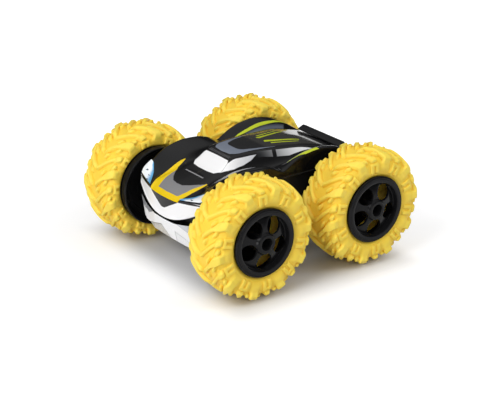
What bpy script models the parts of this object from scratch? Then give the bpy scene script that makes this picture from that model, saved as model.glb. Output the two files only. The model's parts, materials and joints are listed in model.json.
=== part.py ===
"""RC stunt car: a double-sided skid-steer car on four balloon tyres.

Units are metres and +Z is up. The ground is z = 0, the nose points to -Y, the car's left
side is +X, and the origin lies on the ground under the middle of the car. Each side has a
motor that drives both of its wheels through one train of gears. The right drive is the
left one turned half round, so both use the same mouldings.
"""
import math

import bmesh
import bpy
from mathutils import Matrix, Vector

MM = 0.001

# Wheels
TYRE_R = 47.5 * MM  # over the lugs
TYRE_WIDTH = 39.0 * MM
TRACK = 145.5 * MM  # between the middle planes of the left and right tyres
WHEELBASE = 106.0 * MM
LUG_HEIGHT = 3.2 * MM
LUG_SIDE = 1.3 * MM  # the lugs stand this much off the sidewall
SIDE_R = 33.3 * MM  # the sidewall is widest here, and the lugs end
LUG_PITCHES = 10  # bars in one turn on each half, with a block between two bars
CHEVRON = math.radians(19.0)  # how far a bar sweeps from the crown to the shoulder
SHOULDER_DROP = 4.0 * MM  # the carcass falls this much from its crown to its shoulder
SHOULDER_IN = 2.5 * MM
TREAD_DROP = 0.6 * MM  # and this much half way there
BAR_RINGS = {(1, 2), (2, 3), (3, 4), (4, 5), (5, 6), (6, 7)}  # rings of the carcass under a bar
BLOCK_RINGS = {(1, 2), (6, 7)}
RUBBER = 4.5 * MM  # wall of the hollow tyre
LIP_R = 26.7 * MM  # outer lip of the rim
BACK_R = 32.0 * MM  # flange of the rim's inner half
BACK_PROUD = 5.5 * MM  # that flange stands this much off the tyre
RIM_WALL = 2.2 * MM
BARREL = 11.5 * MM  # the rim's outer half reaches this far into the tyre
DISH_R = 21.3 * MM
DISH_DEPTH = 1.0 * MM
RIM_HOLES = 5
RIM_HOLE_R = 5.9 * MM
HUB_R = 8.2 * MM
HUB_PROUD = 1.5 * MM  # the hub stands this much past the lip
HUB_LENGTH = 13.0 * MM  # behind the hub's pocket
HUB_POCKET_R = 5.1 * MM
HUB_POCKET_DEPTH = 15.0 * MM

# Shafts and fits
AXLE_R = 2.2 * MM
PIN_R = 1.5 * MM
SCREW_R = 1.1 * MM
SCREW_HEAD_R = 2.6 * MM
SCREW_HEAD_H = 1.6 * MM
AXLE_SCREW = 6.0 * MM  # length of the screw that holds a wheel
BUSH_WALL = 1.6 * MM
GAP = 0.3 * MM  # between faces that touch on the real car
SIDE_PLAY = 0.6 * MM  # beside a gear

# Gear train: axle gear, idler, centre gear, idler, axle gear between the two axles
AXLE_TEETH = 12
IDLER_TEETH = 12
CENTRE_TEETH = 9
BIG_TEETH = 20  # the centre gear's large wheel, driven by the motor
PINION_TEETH = 8
BIG_MODULE = 1.5 * MM
TRAIN_FACE = 5.0 * MM  # width of the gears between the axles
BIG_FACE = 4.0 * MM
PINION_RISE = math.radians(42.0)  # the motor sits ahead of and above the centre gear
ADDENDUM = 0.85  # height of a tooth over the pitch circle, in modules
DEDENDUM = 1.5  # depth of the gap under it
TIP_SHARE = 0.08  # half a tooth's width at its tip, in pitches

# Body
OVERHANG = 28.5 * MM  # the nose and the tail past the axles
WHEEL_CLEARANCE = 3.5 * MM  # between the body's side and the wheels
SHELL = 1.8 * MM
NOSE_BOW = 7.0 * MM  # the nose is this much further ahead in the middle than at its corners
CORNER_INSET = 4.0 * MM
SEAM_NOSE = 2.0 * MM  # the upper shell's edge is this far under the axles at the nose
SEAM_RISE = 25.0 * MM  # and climbs this much towards the sides
SEAM_START = 2.0 * MM  # from here round the nose
SEAM_RUN = 86.0 * MM  # to this much further on
SEAM_GAP = 2.2 * MM  # between the shells at the nose
LOWER_RISE = 5.5 * MM  # the under shell's edge climbs this much to the corners
LOWER_FALL = 18.5 * MM  # and falls this much past them
LOWER_START = 15.0 * MM
LOWER_RUN = 35.0 * MM
CHASSIS_WALL = 2.0 * MM
CHASSIS_RISE = 24.5 * MM  # the tub's side walls above the axles
CHASSIS_END_RISE = 13.0 * MM  # and its end walls
FLOOR = 1.8 * MM
TUB_CHAMFER = (8.0 * MM, 12.0 * MM)  # the tub's ends slope in, as the under shell's do
LOWER_INSET = 10.0 * MM  # the under shell's nose slopes back by this much
LOWER_BOW = 2.0 * MM
LOWER_CORNER = 0.5 * MM
LOWER_DRAFT = 0.4 * MM

# Batteries, motor, board and switch
CELL_R = 7.25 * MM
CELL_LENGTH = 50.5 * MM
CELLS = 4
CELL_NUB_R = 2.7 * MM
CELL_NUB = 1.2 * MM
CONTACT = 0.8 * MM
BAY_WALL = 3.0 * MM
DOOR_MARGIN = 1.2 * MM
MOTOR_R = 10.0 * MM
MOTOR_FLAT = 15.0 * MM
MOTOR_LENGTH = 25.0 * MM
MOTOR_BOSS_R = 3.0 * MM
MOTOR_BOSS = 1.6 * MM
MOTOR_SHAFT_R = 1.0 * MM
BOARD = (34.0 * MM, 26.0 * MM, 1.6 * MM)
BOARD_POST = 4.0 * MM
SWITCH = (4.0 * MM, 5.0 * MM, 2.4 * MM)
SWITCH_TRAVEL = 3.0 * MM
SWITCH_COLLAR = 1.5 * MM
SPOILER_WIDTH = 52.0 * MM
SPOILER_DEPTH = 7.5 * MM
SPOILER_HEIGHT = 5.0 * MM
SPOILER_STATION = 0.855  # its front edge, as a share of the way to the tail
LENS = 0.9 * MM
LENS_LIFT = 0.8 * MM  # off the shell, which is faceted under it
LENS_INNER = (0.5, 0.63, 0.82)  # its inner edge from the nose up the bulge, in half widths
LENS_OUTER = 0.95

# Places that follow from the sizes above
AXLE_Z = TYRE_R
WHEEL_X = TRACK / 2
AXLE_Y = WHEELBASE / 2
HALF_TYRE = TYRE_WIDTH / 2
HUB_SEAT = HALF_TYRE + HUB_PROUD - HUB_POCKET_DEPTH  # bottom of the hub's pocket
BACK_FACE = HALF_TYRE + BACK_PROUD
BODY_HALF = WHEEL_X - BACK_FACE - WHEEL_CLEARANCE
BODY_END = AXLE_Y + OVERHANG
MODULE = AXLE_Y / (CENTRE_TEETH / 2 + IDLER_TEETH + AXLE_TEETH / 2)
IDLER_Y = MODULE * (CENTRE_TEETH + IDLER_TEETH) / 2
GEAR_TIP = max(MODULE * (AXLE_TEETH / 2 + ADDENDUM), BIG_MODULE * (BIG_TEETH / 2 + ADDENDUM))
CHASSIS_HALF = BODY_HALF - SHELL - 3 * GAP
CHASSIS_END = AXLE_Y + MODULE * (AXLE_TEETH / 2 + ADDENDUM) + 1.5 * SIDE_PLAY + CHASSIS_WALL
WALL_IN = CHASSIS_HALF - CHASSIS_WALL
TRAIN_X = WALL_IN - 2 * SIDE_PLAY - TRAIN_FACE  # inner face of the gears between the axles
BIG_X = TRAIN_X - SIDE_PLAY - BIG_FACE
PLATE_OUT = BIG_X - SIDE_PLAY
PLATE_IN = PLATE_OUT - CHASSIS_WALL
FLOOR_TOP = AXLE_Z - GEAR_TIP - SIDE_PLAY
FLOOR_BOTTOM = FLOOR_TOP - FLOOR
BELLY = FLOOR_BOTTOM - 2 * GAP - 2 * CELL_R - SHELL  # outer face of the battery door
BAY_X = CELL_LENGTH / 2 + CONTACT + 2 * GAP
BAY_Y = CELLS * (CELL_R + GAP / 2) + GAP
DOOR_X = BAY_X + DOOR_MARGIN
DOOR_Y = BAY_Y + DOOR_MARGIN
PINION_DISTANCE = BIG_MODULE * (BIG_TEETH + PINION_TEETH) / 2
SCREW_X = BAY_X - 2 * SCREW_HEAD_R
SCREW_Y = DOOR_Y + 5 * SCREW_HEAD_R
SWITCH_Y = DOOR_Y + SWITCH[1] + SWITCH_TRAVEL + 2 * SWITCH_COLLAR
SHELL_SCREWS = [(x, y) for x in (-SCREW_X, SCREW_X) for y in (-SCREW_Y, SCREW_Y)]
TAB_X = 2 * SCREW_HEAD_R
TAB_END = DOOR_Y + 4 * SCREW_HEAD_R
DOOR_SCREW = (0.0, -TAB_END + 2 * SCREW_HEAD_R)
BOARD_Y = AXLE_Y - BOARD[1] / 2
BELLY_FLAT_X = DOOR_X + DOOR_MARGIN
BELLY_FLAT_Y = SCREW_Y + 2 * SCREW_HEAD_R

# Lines of the upper shell, each a list of (station, value). Stations run from -1 at the nose
# to 1 at the tail, a line across the car is a share of the body's half width, and heights
# are above the axles.
CENTRE_Z = [(-1, 15.0), (-0.845, 21.5), (-0.52, 28.3), (-0.37, 36.0), (-0.3, 38.8), (-0.045, 40.0),
            (0.42, 38.0), (0.855, 27.5), (1, 23.5)]
DECK_X = [(-1, 0.41), (-0.75, 0.38), (-0.52, 0.33), (-0.37, 0.34), (-0.3, 0.345), (-0.05, 0.41),
          (0.16, 0.45), (0.42, 0.52), (0.86, 0.585), (1, 0.6)]
DECK_DROP = [(-1, 0.3), (-0.52, 0.3), (-0.3, 0.4), (0, 1.2), (0.42, 1.8), (0.855, 0), (1, 0)]
VALLEY_X = [(-1, 0.5), (-0.55, 0.5), (-0.3, 0.55), (0, 0.62), (0.43, 0.655), (0.86, 0.66), (1, 0.68)]
VALLEY_Z = [(-1, 17.0), (-0.74, 22.2), (-0.52, 26.4), (-0.25, 26.6), (0, 27.0), (0.43, 29.0),
            (0.74, 26.5), (0.86, 25.0), (1, 21.5)]
RIDGE_X = [(-1, 0.57), (-0.55, 0.62), (-0.25, 0.65), (0, 0.75), (0.15, 0.79), (0.9, 0.79), (1, 0.78)]
RIDGE_DROP = [(-1, 1.5), (-0.88, 4.5), (-0.785, 6.0), (-0.54, 5.6), (-0.25, 4.3), (0, 0.8), (0.1, 2.6),
              (0.25, 4.2), (0.42, 3.4), (0.6, 1.9), (0.8, 0.6), (1, 0.3)]
CREST_Z = [(-1, 19.0), (-0.81, 26.7), (-0.59, 34.5), (-0.39, 37.3), (-0.25, 36.7), (-0.12, 34.0), (0, 29.6),
           (0.08, 32.8), (0.17, 36.5), (0.28, 39.3), (0.42, 40.5), (0.64, 37.7), (0.8, 32.8), (1, 23.5)]
CREST_X = 0.95
EDGE_DROP = 1.0
UPPER_STATIONS = [-1, -0.93, -0.845, -0.74, -0.63, -0.52, -0.37, -0.3, -0.17, -0.045, 0.05, 0.15,
                  0.27, 0.38, 0.49, 0.62, 0.74, 0.855, 0.93, 1]

# Lines of the under shell, with depths below the axles
LOWER_NOSE = 24.5
LOWER_CREST = [(-1, 21.0), (-0.75, 27.0), (-0.45, 33.0), (0, 29.0), (0.45, 33.0), (0.75, 27.0),
               (1, 21.0)]
LOWER_CREST_X = 0.94
LOWER_EDGE = 2.0
LOWER_FLAT = BELLY_FLAT_Y / (BODY_END - LOWER_INSET)
LOWER_STATIONS = [-1, -0.93, -0.84, -LOWER_FLAT, -0.45, 0, 0.45, LOWER_FLAT, 0.84, 0.93, 1]


def clear_scene():
    for old in list(bpy.data.objects):
        bpy.data.objects.remove(old, do_unlink=True)


def collection(name):
    group = bpy.data.collections.new(name)
    bpy.context.scene.collection.children.link(group)
    return group


def material(name, colour, roughness, metallic=0.0):
    made = bpy.data.materials.new(name)
    made.use_nodes = True
    shader = made.node_tree.nodes["Principled BSDF"]
    shader.inputs["Base Color"].default_value = (*colour, 1.0)
    shader.inputs["Roughness"].default_value = roughness
    shader.inputs["Metallic"].default_value = metallic
    made.diffuse_color = (*colour, 1.0)
    return made


def place(name, mesh, finish, parent=None, at=(0, 0, 0), turn=0.0):
    """One named piece of the car, turned about its own Z axis."""
    piece = bpy.data.objects.new(name, mesh)
    CAR.objects.link(piece)
    piece.location = at
    piece.rotation_euler = (0, 0, turn)
    piece.parent = parent
    if finish.name not in mesh.materials:
        mesh.materials.append(finish)
    return piece


def axis(name, at, turn, parent=None):
    """An empty on a joint's axis; children of it have their Z along that axis."""
    empty = bpy.data.objects.new(name, None)
    CAR.objects.link(empty)
    empty.location = at
    empty.rotation_euler = turn
    empty.parent = parent
    return empty


def tool(name, mesh, matrix=None):
    """A shape that only cuts or joins, kept out of the car."""
    shape = bpy.data.objects.new(name, mesh)
    TOOLS.objects.link(shape)
    shape.matrix_world = matrix or Matrix.Identity(4)
    shape.hide_render = True
    shape.display_type = "WIRE"
    return shape


def boolean(piece, operation, *tools):
    for shape in tools:
        step = piece.modifiers.new(shape.name, "BOOLEAN")
        step.operation = operation
        step.solver = "EXACT"
        step.object = shape
    return piece


def bake(piece):
    """The mesh of a piece with its modifiers, for copies of it; the piece itself goes."""
    bpy.context.view_layer.update()
    mesh = bpy.data.meshes.new_from_object(piece.evaluated_get(bpy.context.evaluated_depsgraph_get()))
    mesh.name = piece.name
    for step in list(piece.modifiers):
        if step.type == "BOOLEAN":
            bpy.data.objects.remove(step.object)
    bpy.data.objects.remove(piece)
    return mesh


def smooth(mesh, angle=35.0):
    mesh.shade_smooth()
    mesh.set_sharp_from_angle(angle=math.radians(angle))
    return mesh


def box(name, low, high, bevel=0.0):
    """A block between two corners, with its upright edges rounded if asked."""
    bm = bmesh.new()
    bmesh.ops.create_cube(bm, size=1.0)
    size = Vector(high) - Vector(low)
    middle = (Vector(high) + Vector(low)) / 2
    bmesh.ops.scale(bm, vec=size, verts=bm.verts)
    bmesh.ops.translate(bm, vec=middle, verts=bm.verts)
    if bevel:
        upright = [e for e in bm.edges if abs(e.verts[0].co.z - e.verts[1].co.z) > size.z / 2]
        bmesh.ops.bevel(bm, geom=upright, offset=bevel, segments=3, profile=0.5, affect="EDGES")
    mesh = bpy.data.meshes.new(name)
    bm.to_mesh(mesh)
    bm.free()
    return mesh


def rod(name, radius, low, high, sides=12, centre=(0.0, 0.0)):
    """A round bar along Z."""
    bm = bmesh.new()
    spot = Matrix.Translation((*centre, (low + high) / 2))
    bmesh.ops.create_cone(bm, cap_ends=True, segments=sides, radius1=radius, radius2=radius,
                          depth=high - low, matrix=spot)
    mesh = bpy.data.meshes.new(name)
    bm.to_mesh(mesh)
    bm.free()
    return smooth(mesh)


def turned(name, profile, sides):
    """A piece turned about Z from a profile of (radius, height) points, in TOOLS until it is baked."""
    mesh = bpy.data.meshes.new(name)
    count = len(profile)
    closed = profile[0][0] > 0 and profile[-1][0] > 0
    edges = [(i, i + 1) for i in range(count - 1)] + [(count - 1, 0)] * closed
    mesh.from_pydata([(r, 0, z) for r, z in profile], edges, [])
    piece = tool(name, mesh)
    screw = piece.modifiers.new("turn", "SCREW")
    screw.axis = "Z"
    screw.steps = screw.render_steps = sides
    screw.use_merge_vertices = True
    screw.merge_threshold = 0.00001
    screw.use_smooth_shade = False
    return piece


def ring_of_rods(name, count, pitch_r, radius, low, high, sides=10, phase=0.0):
    """Round bars along Z on a circle, as one tool."""
    bm = bmesh.new()
    for i in range(count):
        turn = phase + math.tau * i / count
        spot = Matrix.Translation((pitch_r * math.cos(turn), pitch_r * math.sin(turn), (low + high) / 2))
        bmesh.ops.create_cone(bm, cap_ends=True, segments=sides, radius1=radius, radius2=radius,
                              depth=high - low, matrix=spot)
    mesh = bpy.data.meshes.new(name)
    bm.to_mesh(mesh)
    bm.free()
    return tool(name, mesh)


def tooth_outline(teeth, module):
    """Outline of a spur gear whose first tooth points along +X, with straight flanks and some backlash."""
    tip = module * (teeth / 2 + ADDENDUM)
    root = module * (teeth / 2 - DEDENDUM)
    pitch = math.tau / teeth
    points = []
    for i in range(teeth):
        for radius, share in ((tip, -TIP_SHARE), (tip, TIP_SHARE), (root, 0.5)):
            turn = pitch * (i + share)
            points.append((radius * math.cos(turn), radius * math.sin(turn)))
    return points


def bore_outline(radius, sides=6):
    """Outline of a bore whose flats just clear a round bar of this radius."""
    corner = radius / math.cos(math.pi / sides)
    turns = [math.tau * i / sides for i in range(sides)]
    return [(corner * math.cos(turn), corner * math.sin(turn)) for turn in turns]


def extruded(name, outlines, low, high):
    """A flat outline with its holes, extruded along Z from low to high, as a welded mesh."""
    curve = bpy.data.curves.new(name, "CURVE")
    curve.dimensions = "2D"
    curve.fill_mode = "BOTH"
    curve.extrude = (high - low) / 2
    for outline in outlines:
        spline = curve.splines.new("POLY")
        spline.points.add(len(outline) - 1)
        for point, (x, y) in zip(spline.points, outline):
            point.co = (x, y, 0, 1)
        spline.use_cyclic_u = True
    drawn = bpy.data.objects.new(name, curve)
    TOOLS.objects.link(drawn)
    bpy.context.view_layer.update()
    mesh = bpy.data.meshes.new_from_object(drawn.evaluated_get(bpy.context.evaluated_depsgraph_get()))
    bpy.data.objects.remove(drawn)
    bm = bmesh.new()
    bm.from_mesh(mesh)
    bmesh.ops.remove_doubles(bm, verts=bm.verts, dist=0.000001)
    bmesh.ops.recalc_face_normals(bm, faces=bm.faces)
    bmesh.ops.translate(bm, vec=(0, 0, (low + high) / 2), verts=bm.verts)
    bm.to_mesh(mesh)
    bm.free()
    mesh.name = name
    return mesh


def along(line, station):
    """Value of a line at a station: a smooth curve through its points that never overshoots them."""
    if station <= line[0][0]:
        return line[0][1]
    if station >= line[-1][0]:
        return line[-1][1]
    k = max(i for i, (s, _) in enumerate(line[:-1]) if s <= station)
    steps = [(b[1] - a[1]) / (b[0] - a[0]) for a, b in zip(line, line[1:])]

    def slope(i):
        if i in (0, len(line) - 1):
            return steps[min(i, len(steps) - 1)]
        before, after = steps[i - 1], steps[i]
        return 2 * before * after / (before + after) if before * after > 0 else 0.0

    width = line[k + 1][0] - line[k][0]
    t = (station - line[k][0]) / width
    low, high = line[k][1], line[k + 1][1]
    return (low * (1 + 2 * t) * (1 - t) ** 2 + high * t * t * (3 - 2 * t)
            + width * (slope(k) * t * (1 - t) ** 2 - slope(k + 1) * t * t * (1 - t)))


def ease(t):
    t = min(max(t, 0.0), 1.0)
    return t * t * (3 - 2 * t)


def plan(station, share, inset=0.0, draft=0.0, end_bow=NOSE_BOW, corner_inset=CORNER_INSET):
    """Where a point of the body lies in plan: bowed ends and drawn-in corners."""
    end = BODY_END - inset
    near_end = max(0.0, (abs(station) - 0.6) / 0.4)
    corner = max(0.0, (abs(station) - 0.9) / 0.1)
    x = share * (BODY_HALF - draft - corner_inset * corner * corner)
    bow = end_bow * near_end * share * share
    return x, station * end - math.copysign(bow, station)


def upper_section(station):
    """Key points of the upper shell from its middle to its edge, as (share of width, height)."""
    centre = along(CENTRE_Z, station)
    deck = along(DECK_X, station)
    crest = along(CREST_Z, station)
    return [
        (0.0, centre),
        (deck, centre - along(DECK_DROP, station)),
        (along(VALLEY_X, station), along(VALLEY_Z, station)),
        (along(RIDGE_X, station), crest - along(RIDGE_DROP, station)),
        (CREST_X, crest),
        (1.0, crest - EDGE_DROP),
    ]


def upper_point(station, share, height):
    x, y = plan(station, share)
    return Vector((x, y, AXLE_Z + height * MM))


def lower_section(station):
    """Key points of the under shell from its middle to its edge, as (share of width, depth)."""
    flat = BELLY_FLAT_X / BODY_HALF
    lower_end = BODY_END - LOWER_INSET
    to_end = ease((abs(station) * lower_end - BELLY_FLAT_Y) / (lower_end - BELLY_FLAT_Y))
    belly = (AXLE_Z - BELLY) / MM
    middle = belly + (LOWER_NOSE - belly) * to_end
    crest = along(LOWER_CREST, station)
    return [
        (0.0, middle),
        (flat / 2, middle),
        (flat, middle),
        ((flat + LOWER_CREST_X) / 2, (middle + crest) / 2 - LOWER_EDGE / 2),
        (LOWER_CREST_X, crest),
        (1.0, crest - LOWER_EDGE),
    ]


def lower_point(station, share, depth):
    x, y = plan(station, share, LOWER_INSET, LOWER_DRAFT, LOWER_BOW, LOWER_CORNER)
    return Vector((x, y, AXLE_Z - depth * MM))


def upper_seam(x, y):
    """Height of the upper shell's lower edge: low at the nose, climbing round the corners."""
    run = abs(x) + BODY_END - abs(y)
    return AXLE_Z - SEAM_NOSE + SEAM_RISE * ease((run - SEAM_START) / SEAM_RUN)


def lower_seam(x, y):
    """Height of the under shell's upper edge: under the upper one, and low past the corners."""
    run = abs(x) + BODY_END - abs(y) - LOWER_START
    climb = LOWER_RISE * ease(run / LOWER_RUN) - LOWER_FALL * ease(run / LOWER_RUN - 1)
    return AXLE_Z - SEAM_NOSE - SEAM_GAP + climb


def shell(name, stations, section, point, seam, faces_up):
    """A moulded half of the body: sections lofted along the car, with a wall down to the seam."""
    columns = len(section(0))
    bm = bmesh.new()
    bmesh.ops.create_grid(bm, x_segments=columns - 1, y_segments=len(stations) - 1, size=1.0)
    stand = {}
    for vert in bm.verts:
        column = round((vert.co.x + 1) / 2 * (columns - 1))
        station = stations[round((vert.co.y + 1) / 2 * (len(stations) - 1))]
        share, height = section(station)[column]
        vert.co = point(station, share, height)
        stand[vert] = (station, share)
    border = [e for e in bm.edges if e.is_boundary and max(v.co.x for v in e.verts) > 0.1 * MM]
    spots = {v: stand[v] for e in border for v in e.verts}
    made = bmesh.ops.extrude_edge_only(bm, edges=border)["geom"]
    for vert in (g for g in made if isinstance(g, bmesh.types.BMVert)):
        top = min(spots, key=lambda v: (v.co - vert.co).length)
        x, y = plan(*spots[top])
        vert.co = (x, y, seam(x, y))
    bmesh.ops.recalc_face_normals(bm, faces=bm.faces)
    outward = sum((f.normal.z * f.calc_area() for f in bm.faces), 0.0)
    if (outward > 0) != faces_up:
        bmesh.ops.reverse_faces(bm, faces=bm.faces)
    mesh = bpy.data.meshes.new(name)
    bm.to_mesh(mesh)
    bm.free()
    return smooth(mesh, 30.0)


def finish_shell(piece):
    mirror = piece.modifiers.new("other half", "MIRROR")
    mirror.use_axis = (True, False, False)
    mirror.merge_threshold = 0.00002
    wall = piece.modifiers.new("wall", "SOLIDIFY")
    wall.thickness = SHELL
    wall.offset = -1.0
    wall.use_quality_normals = True
    return piece


def tyre_mesh(name, sweep):
    """A hollow tyre about Z: a turned carcass whose bars and blocks are raised from its tread."""
    crown = TYRE_R - LUG_HEIGHT
    shoulder = (crown - SHOULDER_DROP, HALF_TYRE - SHOULDER_IN)
    tread = (crown - TREAD_DROP, HALF_TYRE / 2)
    side = HALF_TYRE - LUG_SIDE
    seat = LIP_R - RIM_WALL / 2 + GAP
    back_seat = BACK_R - RIM_WALL / 2 + GAP
    lip = HALF_TYRE - RIM_WALL
    profile = [
        (seat, lip - GAP),
        (SIDE_R, side),
        shoulder,
        tread,
        (crown, 0),
        (tread[0], -tread[1]),
        (shoulder[0], -shoulder[1]),
        (SIDE_R + BACK_R - LIP_R, -side),
        (back_seat, -lip),
        (crown - RUBBER, 0),
    ]
    bm = bmesh.new()
    ring = bm.verts.layers.int.new("ring")
    loop = []
    for number, (r, u) in enumerate(profile):
        vert = bm.verts.new((r, 0, u))
        vert[ring] = number
        loop.append(vert)
    edges = [bm.edges.new(pair) for pair in zip(loop, loop[1:] + loop[:1])]
    cells = 4 * LUG_PITCHES
    bmesh.ops.spin(bm, geom=loop + edges, axis=(0, 0, 1), cent=(0, 0, 0), angle=math.tau, steps=cells)
    bmesh.ops.remove_doubles(bm, verts=bm.verts, dist=0.000001)
    bmesh.ops.recalc_face_normals(bm, faces=bm.faces)

    # Bars and blocks take turns along the tread; the far half is half a pitch behind
    lugs = {}
    for face in bm.faces:
        rings = (min(v[ring] for v in face.verts), max(v[ring] for v in face.verts))
        middle = face.calc_center_median()
        cell = round(math.atan2(middle.y, middle.x) * cells / math.tau - 0.5) % cells
        step = (cell if middle.z > 0 else cell + 2) % 4
        if (step == 0 and rings in BAR_RINGS) or (step == 2 and rings in BLOCK_RINGS):
            lugs.setdefault((cell, middle.z > 0), []).append(face)
    raise_by = {1: (0, LUG_SIDE), 2: (0.8 * LUG_HEIGHT, LUG_SIDE), 3: (LUG_HEIGHT, 0), 4: (LUG_HEIGHT, 0)}
    for faces in lugs.values():
        raised = bmesh.ops.extrude_face_region(bm, geom=faces)["geom"]
        bmesh.ops.delete(bm, geom=faces, context="FACES")
        for vert in (g for g in raised if isinstance(g, bmesh.types.BMVert)):
            number = vert[ring] if vert[ring] <= 4 else 8 - vert[ring]
            out, aside = raise_by[number]
            grown = 1 + out / math.hypot(vert.co.x, vert.co.y)
            vert.co = (vert.co.x * grown, vert.co.y * grown, vert.co.z + math.copysign(aside, vert.co.z))

    # The tread's cells sweep back from the crown to the shoulders
    for vert in bm.verts:
        if 1 <= vert[ring] <= 7:
            share = min(abs(profile[vert[ring]][1]), shoulder[1]) / shoulder[1]
            vert.co = Matrix.Rotation(sweep * CHEVRON * share, 3, "Z") @ vert.co
    mesh = bpy.data.meshes.new(name)
    bm.to_mesh(mesh)
    bm.free()
    return smooth(mesh, 40.0)


def rim_mesh():
    """Outer half of the wheel: lip, pierced dish, hub with a screw pocket, and a short barrel."""
    lip = HALF_TYRE - RIM_WALL
    dish = HALF_TYRE - DISH_DEPTH
    hub = HALF_TYRE + HUB_PROUD
    bore = AXLE_R + GAP
    seat = LIP_R - RIM_WALL / 2
    profile = [
        (bore, HUB_SEAT),
        (HUB_POCKET_R, HUB_SEAT),
        (HUB_POCKET_R, hub),
        (HUB_R, hub),
        (HUB_R, dish),
        (DISH_R, dish),
        (DISH_R, HALF_TYRE),
        (LIP_R, HALF_TYRE - 0.3 * RIM_WALL),
        (LIP_R, lip),
        (seat, lip),
        (seat, lip - BARREL),
        (seat - RIM_WALL, dish - RIM_WALL),
        (HUB_R, dish - RIM_WALL),
        (HUB_R, HUB_SEAT - HUB_LENGTH),
        (bore, HUB_SEAT - HUB_LENGTH),
    ]
    piece = turned("rim", profile, 16)
    pitch_r = (HUB_R + DISH_R) / 2
    holes = ring_of_rods("rim holes", RIM_HOLES, pitch_r, RIM_HOLE_R, dish - 2 * RIM_WALL, hub + RIM_WALL, 8)
    return smooth(bake(boolean(piece, "DIFFERENCE", holes)))


def rim_back_mesh():
    """Inner half of the wheel: a flanged disc that closes the tyre behind the outer half."""
    lip = HALF_TYRE - RIM_WALL
    bore = HUB_R + GAP
    seat = BACK_R - RIM_WALL / 2
    profile = [
        (bore, -lip + RIM_WALL),
        (seat, -lip + RIM_WALL),
        (seat, -HALF_TYRE),
        (BACK_R, -HALF_TYRE),
        (BACK_R, -BACK_FACE),
        (BACK_R - RIM_WALL / 2, -BACK_FACE),
        (BACK_R - 3 * RIM_WALL, -lip),
        (bore, -lip),
    ]
    return smooth(bake(turned("rim back", profile, 16)))


def screw_mesh(name, length):
    """A pan head screw along Z whose head's seat is z = 0 and whose shank runs down."""
    profile = [
        (0, SCREW_HEAD_H),
        (SCREW_HEAD_R * 0.8, SCREW_HEAD_H * 0.8),
        (SCREW_HEAD_R, 0),
        (SCREW_R, 0),
        (SCREW_R, -length),
        (0, -length),
    ]
    return smooth(bake(turned(name, profile, 6)))


def axle_mesh():
    """A steel axle along Z from the gearbox plate to the hub, drilled for the wheel's screw."""
    inner = PLATE_IN - WHEEL_X
    outer = HUB_SEAT - 2 * GAP
    drill = AXLE_SCREW + 2 * GAP
    profile = [
        (0, outer - drill),
        (SCREW_R + GAP / 2, outer - drill),
        (SCREW_R + GAP / 2, outer),
        (AXLE_R, outer),
        (AXLE_R, inner),
        (0, inner),
    ]
    return smooth(bake(turned("axle", profile, 8)))


def gear_mesh(name, teeth, module, low, high, bore):
    return smooth(extruded(name, [tooth_outline(teeth, module), bore_outline(bore)], low, high), 20.0)


def centre_gear_mesh():
    """The centre gear: a small gear for the train and the large wheel that the motor drives."""
    bore = bore_outline(PIN_R + GAP)
    low = BIG_X + BIG_FACE - SIDE_PLAY / 2
    high = TRAIN_X + TRAIN_FACE - SIDE_PLAY / 2
    small = extruded("centre gear", [tooth_outline(CENTRE_TEETH, MODULE), bore], low, high)
    big = extruded("big wheel", [tooth_outline(BIG_TEETH, BIG_MODULE), bore], BIG_X, BIG_X + BIG_FACE)
    return smooth(bake(boolean(tool("centre gear", small), "UNION", tool("big wheel", big))), 20.0)


def mesh_turn(teeth, turn, next_teeth, towards):
    """Turn of the next gear, so that a tooth of this one meets its gap in the direction towards."""
    return towards + math.pi - (math.pi - (towards - turn) * teeth) / next_teeth


def add_wheel(name, hub, side):
    """Tyre, both rim halves, axle, axle gear, bush and screw of one wheel, about the hub's Z."""
    place(f"{name}_tyre", TYRES[side], YELLOW, hub)
    place(f"{name}_rim", RIM, BLACK, hub)
    place(f"{name}_rim_back", RIM_BACK, BLACK, hub)
    place(f"{name}_axle", AXLE, STEEL, hub)
    place(f"{name}_bush", BUSH, BRASS, hub)
    place(f"{name}_wheel_screw", WHEEL_SCREW, STEEL, hub, at=(0, 0, HUB_SEAT + GAP))


def add_drive(side, turn, names):
    """One side's motor, plate, gears and both wheels; names are those of its wheels at -Y and +Y."""
    drive = axis(f"{side}_drive", (0, 0, AXLE_Z), (0, 0, turn))
    along_x = (0, math.pi / 2, 0)
    train = axis(f"{side}_train", (0, 0, 0), along_x, drive)
    place(f"{side}_gearbox_plate", PLATE, BLACK, train)
    centre_turn = 0.0
    place(f"{side}_centre_gear", CENTRE_GEAR, NYLON, axis(f"{side}_centre_axis", (0, 0, 0), along_x, drive),
          turn=centre_turn)
    spot = Vector((0, -PINION_DISTANCE * math.cos(PINION_RISE), PINION_DISTANCE * math.sin(PINION_RISE)))
    motor_axis = axis(f"{side}_motor_axis", spot, along_x, drive)
    place(f"{side}_motor", MOTOR, STEEL, motor_axis)
    towards = math.atan2(spot.y, -spot.z)
    place(f"{side}_pinion", PINION, BRASS, motor_axis,
          turn=mesh_turn(BIG_TEETH, centre_turn, PINION_TEETH, towards))
    for end, name in zip((-1, 1), names):
        towards = end * math.pi / 2
        idler_turn = mesh_turn(CENTRE_TEETH, centre_turn, IDLER_TEETH, towards)
        idler = axis(f"{name}_idler_axis", (0, end * IDLER_Y, 0), along_x, drive)
        place(f"{name}_idler", IDLER, NYLON, idler, turn=idler_turn)
        hub = axis(f"{name}_hub", (WHEEL_X, end * AXLE_Y, 0), along_x, drive)
        gear_turn = mesh_turn(IDLER_TEETH, idler_turn, AXLE_TEETH, towards)
        place(f"{name}_axle_gear", AXLE_GEAR, NYLON, hub, at=(0, 0, -WHEEL_X), turn=gear_turn)
        add_wheel(name, hub, side)


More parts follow.
